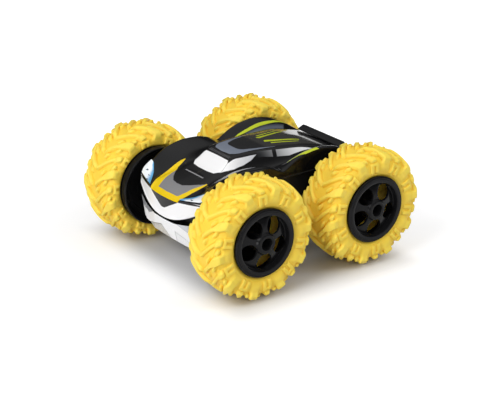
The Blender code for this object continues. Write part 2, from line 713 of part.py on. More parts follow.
def plate_mesh():
    """Inner wall of a gearbox, with the pins of the centre gear and the idlers, about Z = the car's X."""
    low = -(AXLE_Z - FLOOR_TOP - GAP)
    half = AXLE_Y + 3 * AXLE_R
    piece = tool("plate", box("plate", (-CHASSIS_END_RISE, -half, PLATE_IN), (-low, half, PLATE_OUT)))
    for y in (-IDLER_Y, 0, IDLER_Y):
        pin = rod("pin", PIN_R, PLATE_IN + CHASSIS_WALL / 2, WALL_IN - GAP, 6, (0, y))
        boolean(piece, "UNION", tool("pin", pin))
    motor = (-PINION_DISTANCE * math.sin(PINION_RISE), -PINION_DISTANCE * math.cos(PINION_RISE))
    bores = [(AXLE_R, (0, -AXLE_Y)), (AXLE_R, (0, AXLE_Y)), (MOTOR_BOSS_R, motor)]
    for radius, spot in bores:
        hole = rod("plate hole", radius + GAP, PLATE_IN - CHASSIS_WALL, PLATE_OUT + CHASSIS_WALL / 4, 8, spot)
        boolean(piece, "DIFFERENCE", tool("plate hole", hole))
    return bake(piece)


def motor_mesh():
    """A flat-sided motor along Z with its boss in the plate and a bore for the pinion's shaft."""
    face = PLATE_IN - GAP
    profile = [
        (0, face - 2 * MOTOR_BOSS),
        (MOTOR_SHAFT_R + GAP, face - 2 * MOTOR_BOSS),
        (MOTOR_SHAFT_R + GAP, face + MOTOR_BOSS),
        (MOTOR_BOSS_R, face + MOTOR_BOSS),
        (MOTOR_BOSS_R, face),
        (MOTOR_R, face),
        (MOTOR_R, face - MOTOR_LENGTH),
        (0, face - MOTOR_LENGTH),
    ]
    can = turned("motor", profile, 12)
    past = 2 * MOTOR_R
    for low, high in ((MOTOR_FLAT / 2, past), (-past, -MOTOR_FLAT / 2)):
        flat = box("flat", (low, -past, face - 2 * MOTOR_LENGTH), (high, past, face + MOTOR_LENGTH))
        boolean(can, "DIFFERENCE", tool("flat", flat))
    return smooth(bake(can))


def pinion_mesh():
    """The motor's pinion with the shaft that it is pressed on."""
    gear = extruded("pinion", [tooth_outline(PINION_TEETH, BIG_MODULE)], BIG_X, BIG_X + BIG_FACE)
    face = PLATE_IN - GAP
    shaft = rod("shaft", MOTOR_SHAFT_R, face - 2 * MOTOR_BOSS + GAP, BIG_X + BIG_FACE / 2, 8)
    return smooth(bake(boolean(tool("pinion", gear), "UNION", tool("shaft", shaft))), 20.0)


def bush_mesh():
    """A flanged bush in the tub's wall."""
    bore = AXLE_R + GAP
    outer = bore + BUSH_WALL
    wall = CHASSIS_HALF - WHEEL_X
    profile = [
        (bore, wall + GAP + SIDE_PLAY),
        (outer + BUSH_WALL, wall + GAP + SIDE_PLAY),
        (outer + BUSH_WALL, wall + GAP),
        (outer, wall + GAP),
        (outer, wall - CHASSIS_WALL),
        (bore, wall - CHASSIS_WALL),
    ]
    return smooth(bake(turned("bush", profile, 8)))


def end_wedges(end):
    """Tools that slope both lower ends of the tub, or of the room in it, which ends at +-end."""
    run, rise = TUB_CHAMFER
    low, high = FLOOR_BOTTOM - rise, FLOOR_BOTTOM + rise
    outline = [(end, high), (end - 2 * run, low), (end + run, low), (end + run, high)]
    mesh = extruded("wedge", [[(-z, y) for y, z in outline]], -BODY_HALF, BODY_HALF)
    tail = Matrix.Rotation(math.pi / 2, 4, "Y")
    nose = Matrix.Rotation(math.pi, 4, "Z") @ tail
    return tool("tail wedge", mesh, tail), tool("nose wedge", mesh, nose)


def add_chassis():
    """The tub between the shells: walls with the bushes' holes, a floor, and pillars for screws and board."""
    low = (-CHASSIS_HALF, -CHASSIS_END, FLOOR_BOTTOM)
    high = (CHASSIS_HALF, CHASSIS_END, AXLE_Z + CHASSIS_RISE)
    tub = place("chassis", box("chassis", low, high, 3.5 * CHASSIS_WALL), BLACK)
    wall = Vector((CHASSIS_WALL, CHASSIS_WALL, 0))
    room = tool("tub room", box("tub room", Vector(low) + wall + Vector((0, 0, FLOOR)),
                                Vector(high) - wall + Vector((0, 0, CHASSIS_RISE)), 1.5 * CHASSIS_WALL))
    boolean(room, "DIFFERENCE", *end_wedges(CHASSIS_END - CHASSIS_WALL))
    boolean(tub, "DIFFERENCE", *end_wedges(CHASSIS_END))
    boolean(tub, "DIFFERENCE", room)
    end_low = AXLE_Y + 2 * CHASSIS_WALL
    bush_r = AXLE_R + 2 * GAP + BUSH_WALL
    across = Matrix.Rotation(math.pi / 2, 4, "Y")
    for front, back, axle in ((-BODY_END, -end_low, -AXLE_Y), (end_low, BODY_END, AXLE_Y)):
        end = box("tub end", (-BODY_HALF, front, AXLE_Z + CHASSIS_END_RISE), (BODY_HALF, back, 3 * AXLE_Z))
        hole = rod("bush hole", bush_r, -2 * BODY_HALF, 2 * BODY_HALF)
        hole = tool("bush hole", hole, Matrix.Translation((0, axle, AXLE_Z)) @ across)
        boolean(tub, "DIFFERENCE", tool("tub end", end), hole)
    for spot in (*SHELL_SCREWS, DOOR_SCREW):
        boss = rod("pillar", SCREW_R + CHASSIS_WALL, BELLY + SHELL + GAP, FLOOR_TOP - FLOOR / 2, 8, spot)
        boolean(tub, "UNION", tool("pillar", boss))
        drill = rod("pillar hole", SCREW_R + GAP, BELLY, FLOOR_BOTTOM, 6, spot)
        boolean(tub, "DIFFERENCE", tool("pillar hole", drill))
    for x in (-1, 1):
        for y in (-1, 1):
            spot = (x * (BOARD[0] / 2 - PIN_R), BOARD_Y + y * (BOARD[1] / 2 - PIN_R))
            post = rod("board post", PIN_R, FLOOR_TOP - FLOOR / 2, FLOOR_TOP + BOARD_POST, 6, spot)
            boolean(tub, "UNION", tool("board post", post))
    return tub


def add_inside():
    """The board on its posts, the cells side by side under the floor, and their contacts."""
    bottom = FLOOR_TOP + BOARD_POST + GAP
    place("circuit_board", box("circuit board", (-BOARD[0] / 2, BOARD_Y - BOARD[1] / 2, bottom),
                               (BOARD[0] / 2, BOARD_Y + BOARD[1] / 2, bottom + BOARD[2])), BOARD_GREEN)
    half = CELL_LENGTH / 2
    step = half - CELL_NUB
    profile = [(0, half), (CELL_NUB_R, half), (CELL_NUB_R, step), (CELL_R, step), (CELL_R, -half), (0, -half)]
    cell = smooth(bake(turned("cell", profile, 10)))
    pitch = 2 * CELL_R + GAP
    for i in range(CELLS):
        facing = 1 if i % 2 else -1
        seat = axis(f"cell_{i + 1}_axis", (0, (i - (CELLS - 1) / 2) * pitch, BELLY + SHELL + GAP + CELL_R),
                    (0, facing * math.pi / 2, 0))
        place(f"battery_cell_{i + 1}", cell, CELL_SLEEVE, seat)
    for side, sign in (("left", 1), ("right", -1)):
        x = sign * (half + GAP + CONTACT / 2)
        low = (x - CONTACT / 2, -BAY_Y + GAP, BELLY + SHELL + GAP + CELL_R / 2)
        high = (x + CONTACT / 2, BAY_Y - GAP, FLOOR_BOTTOM - GAP - CELL_R / 2)
        place(f"battery_contact_{side}", box("contact", low, high), COPPER)


def add_shells():
    """Both halves of the body; the under shell has the battery bay, its opening and the switch's slot."""
    top = shell("upper shell", UPPER_STATIONS, upper_section, upper_point, upper_seam, True)
    finish_shell(place("upper_shell", top, GLOSS_BLACK))
    bottom = shell("under shell", LOWER_STATIONS, lower_section, lower_point, lower_seam, False)
    lower = finish_shell(place("lower_shell", bottom, WHITE))
    bay = tool("bay", box("bay", (-BAY_X - BAY_WALL, -BAY_Y - BAY_WALL, BELLY + SHELL / 2),
                          (BAY_X + BAY_WALL, BAY_Y + BAY_WALL, FLOOR_BOTTOM - GAP)))
    room = tool("bay room", box("bay room", (-BAY_X, -BAY_Y, BELLY - SHELL), (BAY_X, BAY_Y, FLOOR_TOP)))
    opening = tool("door opening", box("door opening", (-DOOR_X - GAP, -DOOR_Y - GAP, BELLY - SHELL),
                                       (DOOR_X + GAP, DOOR_Y + GAP, BELLY + SHELL)))
    slot_x = SWITCH[0] / 2 + GAP
    slot_y = SWITCH[1] / 2 + GAP
    slot = tool("switch slot", box("switch slot", (-slot_x, SWITCH_Y - slot_y, BELLY - SHELL),
                                   (slot_x, SWITCH_Y + slot_y + SWITCH_TRAVEL, BELLY + 2 * SHELL)))
    tab = tool("tab opening", box("tab opening", (-TAB_X - GAP, -TAB_END - GAP, BELLY - SHELL),
                                  (TAB_X + GAP, -DOOR_Y, BELLY + 2 * SHELL)))
    holes = []
    for spot in SHELL_SCREWS:
        hole = rod("screw hole", SCREW_R + GAP, BELLY - SHELL, BELLY + SHELL + GAP / 2, 6, spot)
        holes.append(tool("screw hole", hole))
    boolean(lower, "UNION", bay)
    boolean(lower, "DIFFERENCE", room, opening, tab, slot, *holes)


def add_underside():
    """Battery door with its tab and screw, the four shell screws and the switch's knob."""
    door = tool("door", box("door", (-DOOR_X, -DOOR_Y, BELLY), (DOOR_X, DOOR_Y, BELLY + SHELL)))
    tab = tool("tab", box("tab", (-TAB_X, -TAB_END, BELLY), (TAB_X, 0, BELLY + SHELL)))
    hole = tool("tab hole", rod("tab hole", SCREW_R + GAP, BELLY - SHELL, BELLY + 2 * SHELL, 6, DOOR_SCREW))
    boolean(boolean(door, "UNION", tab), "DIFFERENCE", hole)
    place("battery_door", bake(door), WHITE)
    screw = screw_mesh("body screw", FLOOR_BOTTOM - BELLY - CHASSIS_WALL)
    names = [f"shell_screw_{i + 1}" for i in range(len(SHELL_SCREWS))] + ["door_screw"]
    for name, spot in zip(names, (*SHELL_SCREWS, DOOR_SCREW)):
        place(name, screw, STEEL, axis(f"{name}_axis", (*spot, BELLY - GAP), (math.pi, 0, 0)))
    x, y, height = (size / 2 for size in SWITCH)
    collar = BELLY + SHELL + GAP
    knob = tool("knob", box("knob", (-x, -y, BELLY - height), (x, y, collar + height)))
    rim = tool("knob collar", box("knob collar", (-x - SWITCH_COLLAR, -y - SWITCH_COLLAR, collar),
                                  (x + SWITCH_COLLAR, y + SWITCH_COLLAR, collar + height / 2)))
    place("power_switch", bake(boolean(knob, "UNION", rim)), BLACK, at=(0, SWITCH_Y, 0))


def add_trim():
    """Spoiler on the tail and the two headlight lenses on the nose's corners."""
    deck = [upper_point(t, 0.0, along(CENTRE_Z, t)) for t in (SPOILER_STATION, 0.93)]
    fall = (deck[1].z - deck[0].z) / (deck[1].y - deck[0].y)
    front = deck[0] + Vector((0, 0, GAP))
    back = front + Vector((0, SPOILER_DEPTH, fall * SPOILER_DEPTH))
    outline = [
        (front.y, front.z),
        (back.y, back.z),
        (back.y, back.z + SPOILER_HEIGHT),
        (back.y - SPOILER_DEPTH / 4, back.z + 1.1 * SPOILER_HEIGHT),
        (front.y, front.z + SPOILER_HEIGHT / 6),
    ]
    bar = extruded("spoiler", [[(-z, y) for y, z in outline]], -SPOILER_WIDTH / 2, SPOILER_WIDTH / 2)
    place("spoiler", bar, BLACK, axis("spoiler_axis", (0, 0, 0), (0, math.pi / 2, 0)))
    for name, side in (("headlight_left", 1), ("headlight_right", -1)):
        place(name, lens_mesh(name, side), LENS_CLEAR)


def on_section(section, share):
    """Height of a section at a share of the body's half width."""
    for (left, low), (right, high) in zip(section, section[1:]):
        if share <= right:
            return low + (high - low) * (share - left) / (right - left)
    return section[-1][1]


def lens_mesh(name, side):
    """A thin lens that follows the shell over the nose's corner, narrowing up the wheel bulge."""
    rows = UPPER_STATIONS[:3]
    bm = bmesh.new()
    bmesh.ops.create_grid(bm, x_segments=3, y_segments=2, size=1.0)
    for vert in bm.verts:
        row = round(vert.co.y + 1)
        inner = LENS_INNER[row]
        share = inner + (LENS_OUTER - inner) * (vert.co.x + 1) / 2
        vert.co = upper_point(rows[row], share, on_section(upper_section(rows[row]), share))
        vert.co.x *= side
    bmesh.ops.recalc_face_normals(bm, faces=bm.faces)
    if sum(f.normal.z for f in bm.faces) < 0:
        bmesh.ops.reverse_faces(bm, faces=bm.faces)
    bm.normal_update()
    for vert in bm.verts:
        vert.co += vert.normal * (LENS_LIFT + LENS)
    mesh = bpy.data.meshes.new(name)
    bm.to_mesh(mesh)
    bm.free()
    piece = tool(name, mesh)
    wall = piece.modifiers.new("wall", "SOLIDIFY")
    wall.thickness = LENS
    wall.offset = -1.0
    return smooth(bake(piece))


clear_scene()
CAR = collection("rc_stunt_car")
TOOLS = collection("cutters")

GLOSS_BLACK = material("gloss black plastic", (0.012, 0.012, 0.013), 0.12)
BLACK = material("black plastic", (0.016, 0.016, 0.017), 0.38)
WHITE = material("white plastic", (0.82, 0.82, 0.83), 0.25)
YELLOW = material("yellow rubber", (0.9, 0.6, 0.045), 0.55)
STEEL = material("steel", (0.55, 0.55, 0.56), 0.28, 1.0)
BRASS = material("brass", (0.6, 0.42, 0.14), 0.3, 1.0)
NYLON = material("nylon", (0.75, 0.74, 0.68), 0.45)
LENS_CLEAR = material("lens", (0.62, 0.75, 0.85), 0.1)
CELL_SLEEVE = material("cell sleeve", (0.08, 0.1, 0.14), 0.35)
BOARD_GREEN = material("circuit board", (0.02, 0.16, 0.06), 0.4)
COPPER = material("contact", (0.62, 0.6, 0.55), 0.3, 1.0)

TYRES = {"left": tyre_mesh("left tyre", -1), "right": tyre_mesh("right tyre", 1)}
RIM = rim_mesh()
RIM_BACK = rim_back_mesh()
AXLE = axle_mesh()
BUSH = bush_mesh()
WHEEL_SCREW = screw_mesh("wheel screw", AXLE_SCREW)
AXLE_GEAR = gear_mesh("axle gear", AXLE_TEETH, MODULE, TRAIN_X, TRAIN_X + TRAIN_FACE, AXLE_R + GAP)
IDLER = gear_mesh("idler", IDLER_TEETH, MODULE, TRAIN_X, TRAIN_X + TRAIN_FACE, PIN_R + GAP)
CENTRE_GEAR = centre_gear_mesh()
PLATE = plate_mesh()
MOTOR = motor_mesh()
PINION = pinion_mesh()

add_drive("left", 0.0, ("front_left", "rear_left"))
add_drive("right", math.pi, ("rear_right", "front_right"))
add_chassis()
add_inside()
add_shells()
add_underside()
add_trim()
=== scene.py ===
"""Looks of the RC stunt car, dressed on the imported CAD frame.

Laid out as an add-on: property groups hold the sizes and colours, one operator makes each piece or group
of like pieces, and a panel in the sidebar lists them. Run as a script, it makes the whole scene.
Metres, +Z up, the nose towards -Y, the car's left side towards +X.
"""
import json
import math

import bpy
import numpy as np
from mathutils import Matrix, Vector


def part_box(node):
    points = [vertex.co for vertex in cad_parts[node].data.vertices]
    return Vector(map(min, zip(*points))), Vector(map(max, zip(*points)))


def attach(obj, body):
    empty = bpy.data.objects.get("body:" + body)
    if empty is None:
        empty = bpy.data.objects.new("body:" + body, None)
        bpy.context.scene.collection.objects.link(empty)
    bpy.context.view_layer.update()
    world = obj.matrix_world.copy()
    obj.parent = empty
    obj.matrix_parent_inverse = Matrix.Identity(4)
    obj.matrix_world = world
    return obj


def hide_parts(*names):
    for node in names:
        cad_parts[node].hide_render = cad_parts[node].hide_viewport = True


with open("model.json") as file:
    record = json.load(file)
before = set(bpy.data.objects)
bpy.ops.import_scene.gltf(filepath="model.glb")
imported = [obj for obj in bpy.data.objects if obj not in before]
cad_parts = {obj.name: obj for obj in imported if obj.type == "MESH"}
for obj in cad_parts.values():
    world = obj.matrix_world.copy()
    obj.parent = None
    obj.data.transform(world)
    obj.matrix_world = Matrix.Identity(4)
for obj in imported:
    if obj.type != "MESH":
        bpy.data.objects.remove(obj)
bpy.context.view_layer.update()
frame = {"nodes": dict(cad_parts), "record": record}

bl_info = {
    "name": "RC Stunt Car",
    "version": (1, 0, 0),
    "blender": (4, 5, 0),
    "location": "View3D > Sidebar > Stunt Car",
    "description": "Dresses the CAD frame of a double-sided RC stunt car",
    "category": "Object",
}

MM = 0.001
SIDES = {"left": 1, "right": -1}
ENDS = {"front": -1, "rear": 1}
WHEELS = [(f"{end}_{side}", SIDES[side], ENDS[end]) for side in SIDES for end in ENDS]

# What the frame gives
TYRE_LOW, TYRE_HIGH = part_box("front_left_tyre")
WHEEL_AT = (TYRE_LOW + TYRE_HIGH) / 2
TYRE_R = (TYRE_HIGH.z - TYRE_LOW.z) / 2
HALF_TYRE = (TYRE_HIGH.x - TYRE_LOW.x) / 2
RIM_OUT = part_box("front_left_rim")[1].x - WHEEL_AT.x
BACK_OUT = WHEEL_AT.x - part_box("front_left_rim_back")[0].x
AXLE_Z = WHEEL_AT.z
BODY_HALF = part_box("upper_shell")[1].x
BODY_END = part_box("upper_shell")[1].y

# Lines of the upper shell as in the CAD source: (station from -1 at the nose to 1 at the tail, value),
# with shares of the half width across and heights above the axles in millimetres
CENTRE_Z = [(-1, 15.0), (-0.845, 21.5), (-0.52, 28.3), (-0.37, 36.0), (-0.3, 38.8), (-0.045, 40.0),
            (0.42, 38.0), (0.855, 27.5), (1, 23.5)]
DECK_X = [(-1, 0.41), (-0.75, 0.38), (-0.52, 0.33), (-0.37, 0.34), (-0.3, 0.345), (-0.05, 0.41),
          (0.16, 0.45), (0.42, 0.52), (0.86, 0.585), (1, 0.6)]
DECK_DROP = [(-1, 0.3), (-0.52, 0.3), (-0.3, 0.4), (0, 1.2), (0.42, 1.8), (0.855, 0), (1, 0)]
VALLEY_X = [(-1, 0.5), (-0.55, 0.5), (-0.3, 0.55), (0, 0.62), (0.43, 0.655), (0.86, 0.66), (1, 0.68)]
VALLEY_Z = [(-1, 17.0), (-0.74, 22.2), (-0.52, 26.4), (-0.25, 26.6), (0, 27.0), (0.43, 29.0),
            (0.74, 26.5), (0.86, 25.0), (1, 21.5)]
RIDGE_X = [(-1, 0.57), (-0.55, 0.62), (-0.25, 0.65), (0, 0.75), (0.15, 0.79), (0.9, 0.79), (1, 0.78)]
RIDGE_DROP = [(-1, 1.5), (-0.88, 4.5), (-0.785, 6.0), (-0.54, 5.6), (-0.25, 4.3), (0, 0.8), (0.1, 2.6),
              (0.25, 4.2), (0.42, 3.4), (0.6, 1.9), (0.8, 0.6), (1, 0.3)]
CREST_Z = [(-1, 19.0), (-0.81, 26.7), (-0.59, 34.5), (-0.39, 37.3), (-0.25, 36.7), (-0.12, 34.0), (0, 29.6),
           (0.08, 32.8), (0.17, 36.5), (0.28, 39.3), (0.42, 40.5), (0.64, 37.7), (0.8, 32.8), (1, 23.5)]
CREST_X = 0.95
EDGE_DROP = 1.0
# Ends of the body in plan: how far they bow and draw in at the corners, and the stations where that starts
NOSE_BOW, BOW_FROM = 7.0 * MM, 0.6
CORNER_INSET, CORNER_FROM = 4.0 * MM, 0.9
# Foot of the upper shell: under the axles at the nose, then rising along the outline
SEAM_NOSE, SEAM_RISE = 2.0 * MM, 25.0 * MM
SEAM_START, SEAM_RUN = 2.0 * MM, 86.0 * MM
SIDE_FROM = 0.96  # share of the half width past which the outline is a side of the body


def millimetres(name, description, default):
    return bpy.props.FloatProperty(name=name, description=description, default=default * MM, min=0.0,
                                   subtype="DISTANCE", unit="LENGTH", precision=5)


def colour(name, description, default):
    return bpy.props.FloatVectorProperty(name=name, description=description, default=default, size=3,
                                         subtype="COLOR", min=0.0, max=1.0)


def degrees(name, description, default):
    return bpy.props.FloatProperty(name=name, description=description, default=math.radians(default),
                                   subtype="ANGLE", unit="ROTATION")


class StuntCarWheels(bpy.types.PropertyGroup):
    """Sizes and colours of the tyres and rims."""
    lug_height: millimetres("Lug height", "Height of the bars over the carcass at the crown", 3.2)
    bar_width: millimetres("Bar width", "Width of a bar of the tread", 6.2)
    rubber_wall: millimetres("Rubber wall", "Thickness of the hollow tyre's wall", 3.6)
    block_width: millimetres("Block width", "Width of a notched block on the sidewall", 7.6)
    pitches: bpy.props.IntProperty(name="Pitches", description="Bars in one turn on each shoulder",
                                   default=10, min=4, max=24)
    sweep: degrees("Sweep", "Turn of a bar from the crown to the shoulder", 19.0)
    hole_radius: millimetres("Hole radius", "Radius of a round hole in the rim's dish", 6.6)
    hole_ring: millimetres("Hole ring", "Radius of the circle that the five holes sit on", 14.75)
    rubber: colour("Rubber", "Colour of the soft tyres", (0.94, 0.72, 0.095))
    # Painted shade: the rubber is coloured deeper between the bars and orange in the tread's corners
    groove: colour("Groove", "Deeper colour of the rubber between the bars", (0.93, 0.62, 0.055))
    crease_shade: colour("Crease", "Orange of the rubber in the corners of the tread", (0.86, 0.49, 0.025))
    rim: colour("Rim", "Colour of the rims' plastic", (0.006, 0.006, 0.0065))


class StuntCarBody(bpy.types.PropertyGroup):
    """Wall and colours of the shells and their trim."""
    wall: millimetres("Wall", "Thickness of the shells", 1.5)
    black: colour("Black", "Colour of the upper shell", (0.0045, 0.0045, 0.005))
    white: colour("White", "Colour of the bumper and the plate", (0.88, 0.88, 0.89))
    under: colour("Under", "White of the under shell", (0.94, 0.94, 0.95))
    # Painted shade: grey on the under shell's sunk facets and on the plate's side facets towards the rear
    shade: colour("Shade", "Grey of the under shell's recessed facets", (0.5, 0.515, 0.55))
    yellow: colour("Yellow", "Outline of the hood's panel", (0.8, 0.55, 0.004))
    grey: colour("Grey", "Inside of the hood's panel", (0.215, 0.215, 0.22))
    lime: colour("Lime", "Stripes on the roof and the wheel bulges", (0.5, 0.58, 0.02))
    glass: colour("Glass", "Band round the windscreen", (0.19, 0.215, 0.265))


class StuntCarStage(bpy.types.PropertyGroup):
    """Floor, light and camera."""
    floor: colour("Floor", "Colour of the floor", (0.62, 0.62, 0.63))
    azimuth: degrees("Azimuth", "Camera's turn round the car from the nose", 53.28)
    elevation: degrees("Elevation", "Camera's height over the horizon", 22.16)
    distance: millimetres("Distance", "From the camera to the middle of the car", 1197.23)
    lens: bpy.props.FloatProperty(name="Lens", description="Focal length in millimetres", default=109.0,
                                  min=10.0, subtype="DISTANCE_CAMERA", unit="CAMERA")
    key: bpy.props.FloatProperty(name="Key light", description="Power that each lamp takes a share of",
                                 default=9.7, subtype="POWER", unit="POWER")


def leave_edit():
    bpy.ops.object.mode_set(mode="OBJECT")


def deselect():
    if bpy.context.object and bpy.context.object.mode != "OBJECT":
        leave_edit()
    bpy.ops.object.select_all(action="DESELECT")


def only(piece):
    """Selects one piece and makes it active."""
    deselect()
    piece.select_set(True)
    bpy.context.view_layer.objects.active = piece


def edit(piece):
    """Goes into edit mode with all of one piece selected."""
    only(piece)
    bpy.ops.object.mode_set(mode="EDIT")
    bpy.ops.mesh.select_all(action="SELECT")


def new_piece(name):
    """Names the piece that an operator has just added."""
    piece = bpy.context.object
    piece.name = piece.data.name = name
    return piece


def points_of(piece):
    flat = np.empty(len(piece.data.vertices) * 3)
    piece.data.vertices.foreach_get("co", flat)
    return flat.reshape(-1, 3)


def set_points(piece, points):
    piece.data.vertices.foreach_set("co", np.ascontiguousarray(points, dtype=np.float32).ravel())
    piece.data.update()


def keep(piece, name, values):
    """Keeps a value for each point as an attribute that a finish reads."""
    layer = piece.data.attributes.new(name, "FLOAT", "POINT")
    layer.data.foreach_set("value", values.astype(np.float32))


def grid(name, columns, rows):
    """A grid of quads, with the column and row numbers of its vertices."""
    deselect()
    bpy.ops.mesh.primitive_grid_add(x_subdivisions=columns, y_subdivisions=rows, size=2.0)
    piece = new_piece(name)
    start = points_of(piece)
    column = np.rint((start[:, 0] + 1) / 2 * columns).astype(int)
    row = np.rint((start[:, 1] + 1) / 2 * rows).astype(int)
    return piece, column, row


def close_up(piece, distance=0.002 * MM):
    """Merges doubles and turns the faces of a closed piece outwards."""
    edit(piece)
    bpy.ops.mesh.remove_doubles(threshold=distance)
    bpy.ops.mesh.normals_make_consistent(inside=False)
    leave_edit()
    return piece


def shade(piece, angle=None):
    only(piece)
    if angle is None:
        bpy.ops.object.shade_smooth()
    else:
        bpy.ops.object.shade_smooth_by_angle(angle=math.radians(angle))
    return piece


def modify(piece, kind, **settings):
    """Adds one modifier with its settings and applies it."""
    only(piece)
    step = piece.modifiers.new(kind.lower(), kind)
    for key, value in settings.items():
        setattr(step, key, value)
    bpy.ops.object.modifier_apply(modifier=step.name)
    return piece


def bevel(piece, width, segments, angle):
    """Rounds the edges that turn by more than an angle in degrees."""
    return modify(piece, "BEVEL", width=width, segments=segments, limit_method="ANGLE",
                  angle_limit=math.radians(angle))


def face_up(piece):
    """Turns an open piece so that most of it faces up."""
    if sum(face.normal.z * face.area for face in piece.data.polygons) < 0:
        piece.data.flip_normals()
    return piece


def turned(name, profile, steps):
    """A piece spun about X from a closed outline of (radius, place along X) points in millimetres."""
    deselect()
    bpy.ops.mesh.primitive_circle_add(vertices=len(profile), radius=1.0, fill_type="NOTHING")
    piece = new_piece(name)
    set_points(piece, [(along_x * MM, radius * MM, 0.0) for radius, along_x in profile])
    edit(piece)
    bpy.ops.mesh.spin(steps=steps, angle=math.tau, center=(0, 0, 0), axis=(1, 0, 0))
    leave_edit()
    return close_up(piece)


def cut(piece, cutters):
    """Takes the cutters out of the piece and removes them."""
    for cutter in cutters:
        modify(piece, "BOOLEAN", operation="DIFFERENCE", solver="EXACT", object=cutter)
        bpy.data.objects.remove(cutter)
    return piece


def copy_of(piece, name, matrix):
    """A copy with its own mesh and its place in it; a mirrored copy is turned right side out."""
    twin = piece.copy()
    twin.data = piece.data.copy()
    twin.name = twin.data.name = name
    bpy.context.collection.objects.link(twin)
    twin.data.transform(matrix)
    if matrix.determinant() < 0:
        twin.data.flip_normals()
    return twin


def wheel_place(side, end, turn=0.0):
    """Where a wheel's piece goes that is modelled at the origin for the left side; mirrored on the right."""
    at = Matrix.Translation((side * WHEEL_AT.x, end * abs(WHEEL_AT.y), AXLE_Z))
    return at @ Matrix.Rotation(turn, 4, "X") @ Matrix.Diagonal((side, 1, 1, 1))


def dress(piece, finish, body, slot, *nodes):
    """Gives a piece its finish, and lets it ride on a body in place of CAD nodes."""
    piece.data.materials.clear()
    piece.data.materials.append(finish)
    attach(piece, body)
    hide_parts(*nodes)


def shaded(base, share):
    """A colour made darker, or lighter with a share over 1."""
    return tuple(share * part for part in base)


class Finish:
    """A procedural material with short calls for its nodes."""

    def __init__(self, name, base, roughness, metallic=0.0, specular=0.5, coat=0.0):
        self.material = bpy.data.materials.new(name)
        self.material.use_nodes = True
        self.tree = self.material.node_tree
        self.shader = self.tree.nodes["Principled BSDF"]
        self.put({"Base Color": base, "Roughness": roughness, "Metallic": metallic, "Coat Weight": coat,
                  "Specular IOR Level": specular, "Coat Roughness": 0.06})
        self.coordinates = self.node("ShaderNodeTexCoord").outputs["Object"]
        self.x, self.y, self.z = self.node("ShaderNodeSeparateXYZ", {0: self.coordinates}).outputs

    def put(self, sockets, node=None):
        """Links or sets sockets, by name or number, of a node or else of the shader."""
        for key, value in sockets.items():
            socket = (node or self.shader).inputs[key]
            if isinstance(value, bpy.types.NodeSocket):
                self.tree.links.new(value, socket)
            elif socket.type == "RGBA":
                socket.default_value = (*value, 1.0)
            else:
                socket.default_value = value

    def node(self, kind, sockets=None, **settings):
        made = self.tree.nodes.new(kind)
        for key, value in settings.items():
            setattr(made, key, value)
        self.put(sockets or {}, made)
        return made

    def math(self, operation, *values, clamp=False):
        sockets = dict(enumerate(values))
        return self.node("ShaderNodeMath", sockets, operation=operation, use_clamp=clamp).outputs[0]

    def mix(self, factor, first, second):
        sockets = {"Factor": factor, 6: first, 7: second}
        return self.node("ShaderNodeMix", sockets, data_type="RGBA").outputs[2]

    def noise(self, scale, detail=3.0, stretch=(1, 1, 1)):
        """Noise on Object coordinates, from 0 to 1, with so many grains in a metre."""
        mapping = self.node("ShaderNodeMapping", {"Vector": self.coordinates, "Scale": stretch})
        sockets = {"Vector": mapping.outputs[0], "Scale": scale, "Detail": detail}
        return self.node("ShaderNodeTexNoise", sockets).outputs[0]

    def flat(self, first, second):
        """Two coordinates and 1, for the straight edges of printed areas."""
        return self.node("ShaderNodeCombineXYZ", {0: first, 1: second, 2: 1.0}).outputs[0]

    def area(self, flat, corners, soft=0.18 * MM):
        """1 inside a convex outline given in millimetres, with a soft printed edge."""
        points = [Vector((a * MM, b * MM)) for a, b in corners]
        ring = list(zip(points, points[1:] + points[:1]))
        turn = math.copysign(1, sum(p.x * q.y - q.x * p.y for p, q in ring))
        inside = None
        for p, q in ring:
            run = (q - p).normalized()
            edge = Vector((-run.y, run.x)) * turn
            sockets = {0: flat, 1: (edge.x, edge.y, -edge.dot(p))}
            depth = self.node("ShaderNodeVectorMath", sockets, operation="DOT_PRODUCT").outputs["Value"]
            inside = depth if inside is None else self.math("MINIMUM", inside, depth)
        return self.math("MULTIPLY_ADD", inside, 1 / soft, 0.5, clamp=True)

    def between(self, value, low, high):
        """0 to 1 along a value, eased at both ends."""
        sockets = {"Value": value, "From Min": low, "From Max": high}
        return self.node("ShaderNodeMapRange", sockets, interpolation_type="SMOOTHSTEP").outputs[0]

    def paint(self, colour):
        self.put({"Base Color": colour})

    def grained(self, grain, rough, strength, depth, relief=None):
        """Roughness between two values along a grain, and a bump of that grain or of another relief."""
        ramp = self.node("ShaderNodeMapRange", {"Value": grain, "To Min": rough[0], "To Max": rough[1]})
        height = grain if relief is None else relief
        bump = self.node("ShaderNodeBump", {"Strength": strength, "Distance": depth, "Height": height})
        self.put({"Roughness": ramp.outputs[0], "Normal": bump.outputs[0]})
        return self.material


def along(points, at):
    """Values of a body line at stations: a smooth curve through its points that never overshoots."""
    xs, ys = np.array(points, float).T
    steps = np.diff(ys) / np.diff(xs)
    both = steps[:-1] * steps[1:]
    total = np.where(both > 0, steps[:-1] + steps[1:], 1.0)
    slopes = np.concatenate([steps[:1], np.where(both > 0, 2 * both / total, 0.0), steps[-1:]])
    at = np.clip(at, xs[0], xs[-1])
    k = np.clip(np.searchsorted(xs, at, side="right") - 1, 0, len(xs) - 2)
    width = xs[k + 1] - xs[k]
    t = (at - xs[k]) / width
    return (ys[k] * (1 + 2 * t) * (1 - t) ** 2 + ys[k + 1] * t * t * (3 - 2 * t)
            + width * (slopes[k] * t * (1 - t) ** 2 - slopes[k + 1] * t * t * (1 - t)))


def ease(t):
    t = np.clip(t, 0.0, 1.0)
    return t * t * (3 - 2 * t)


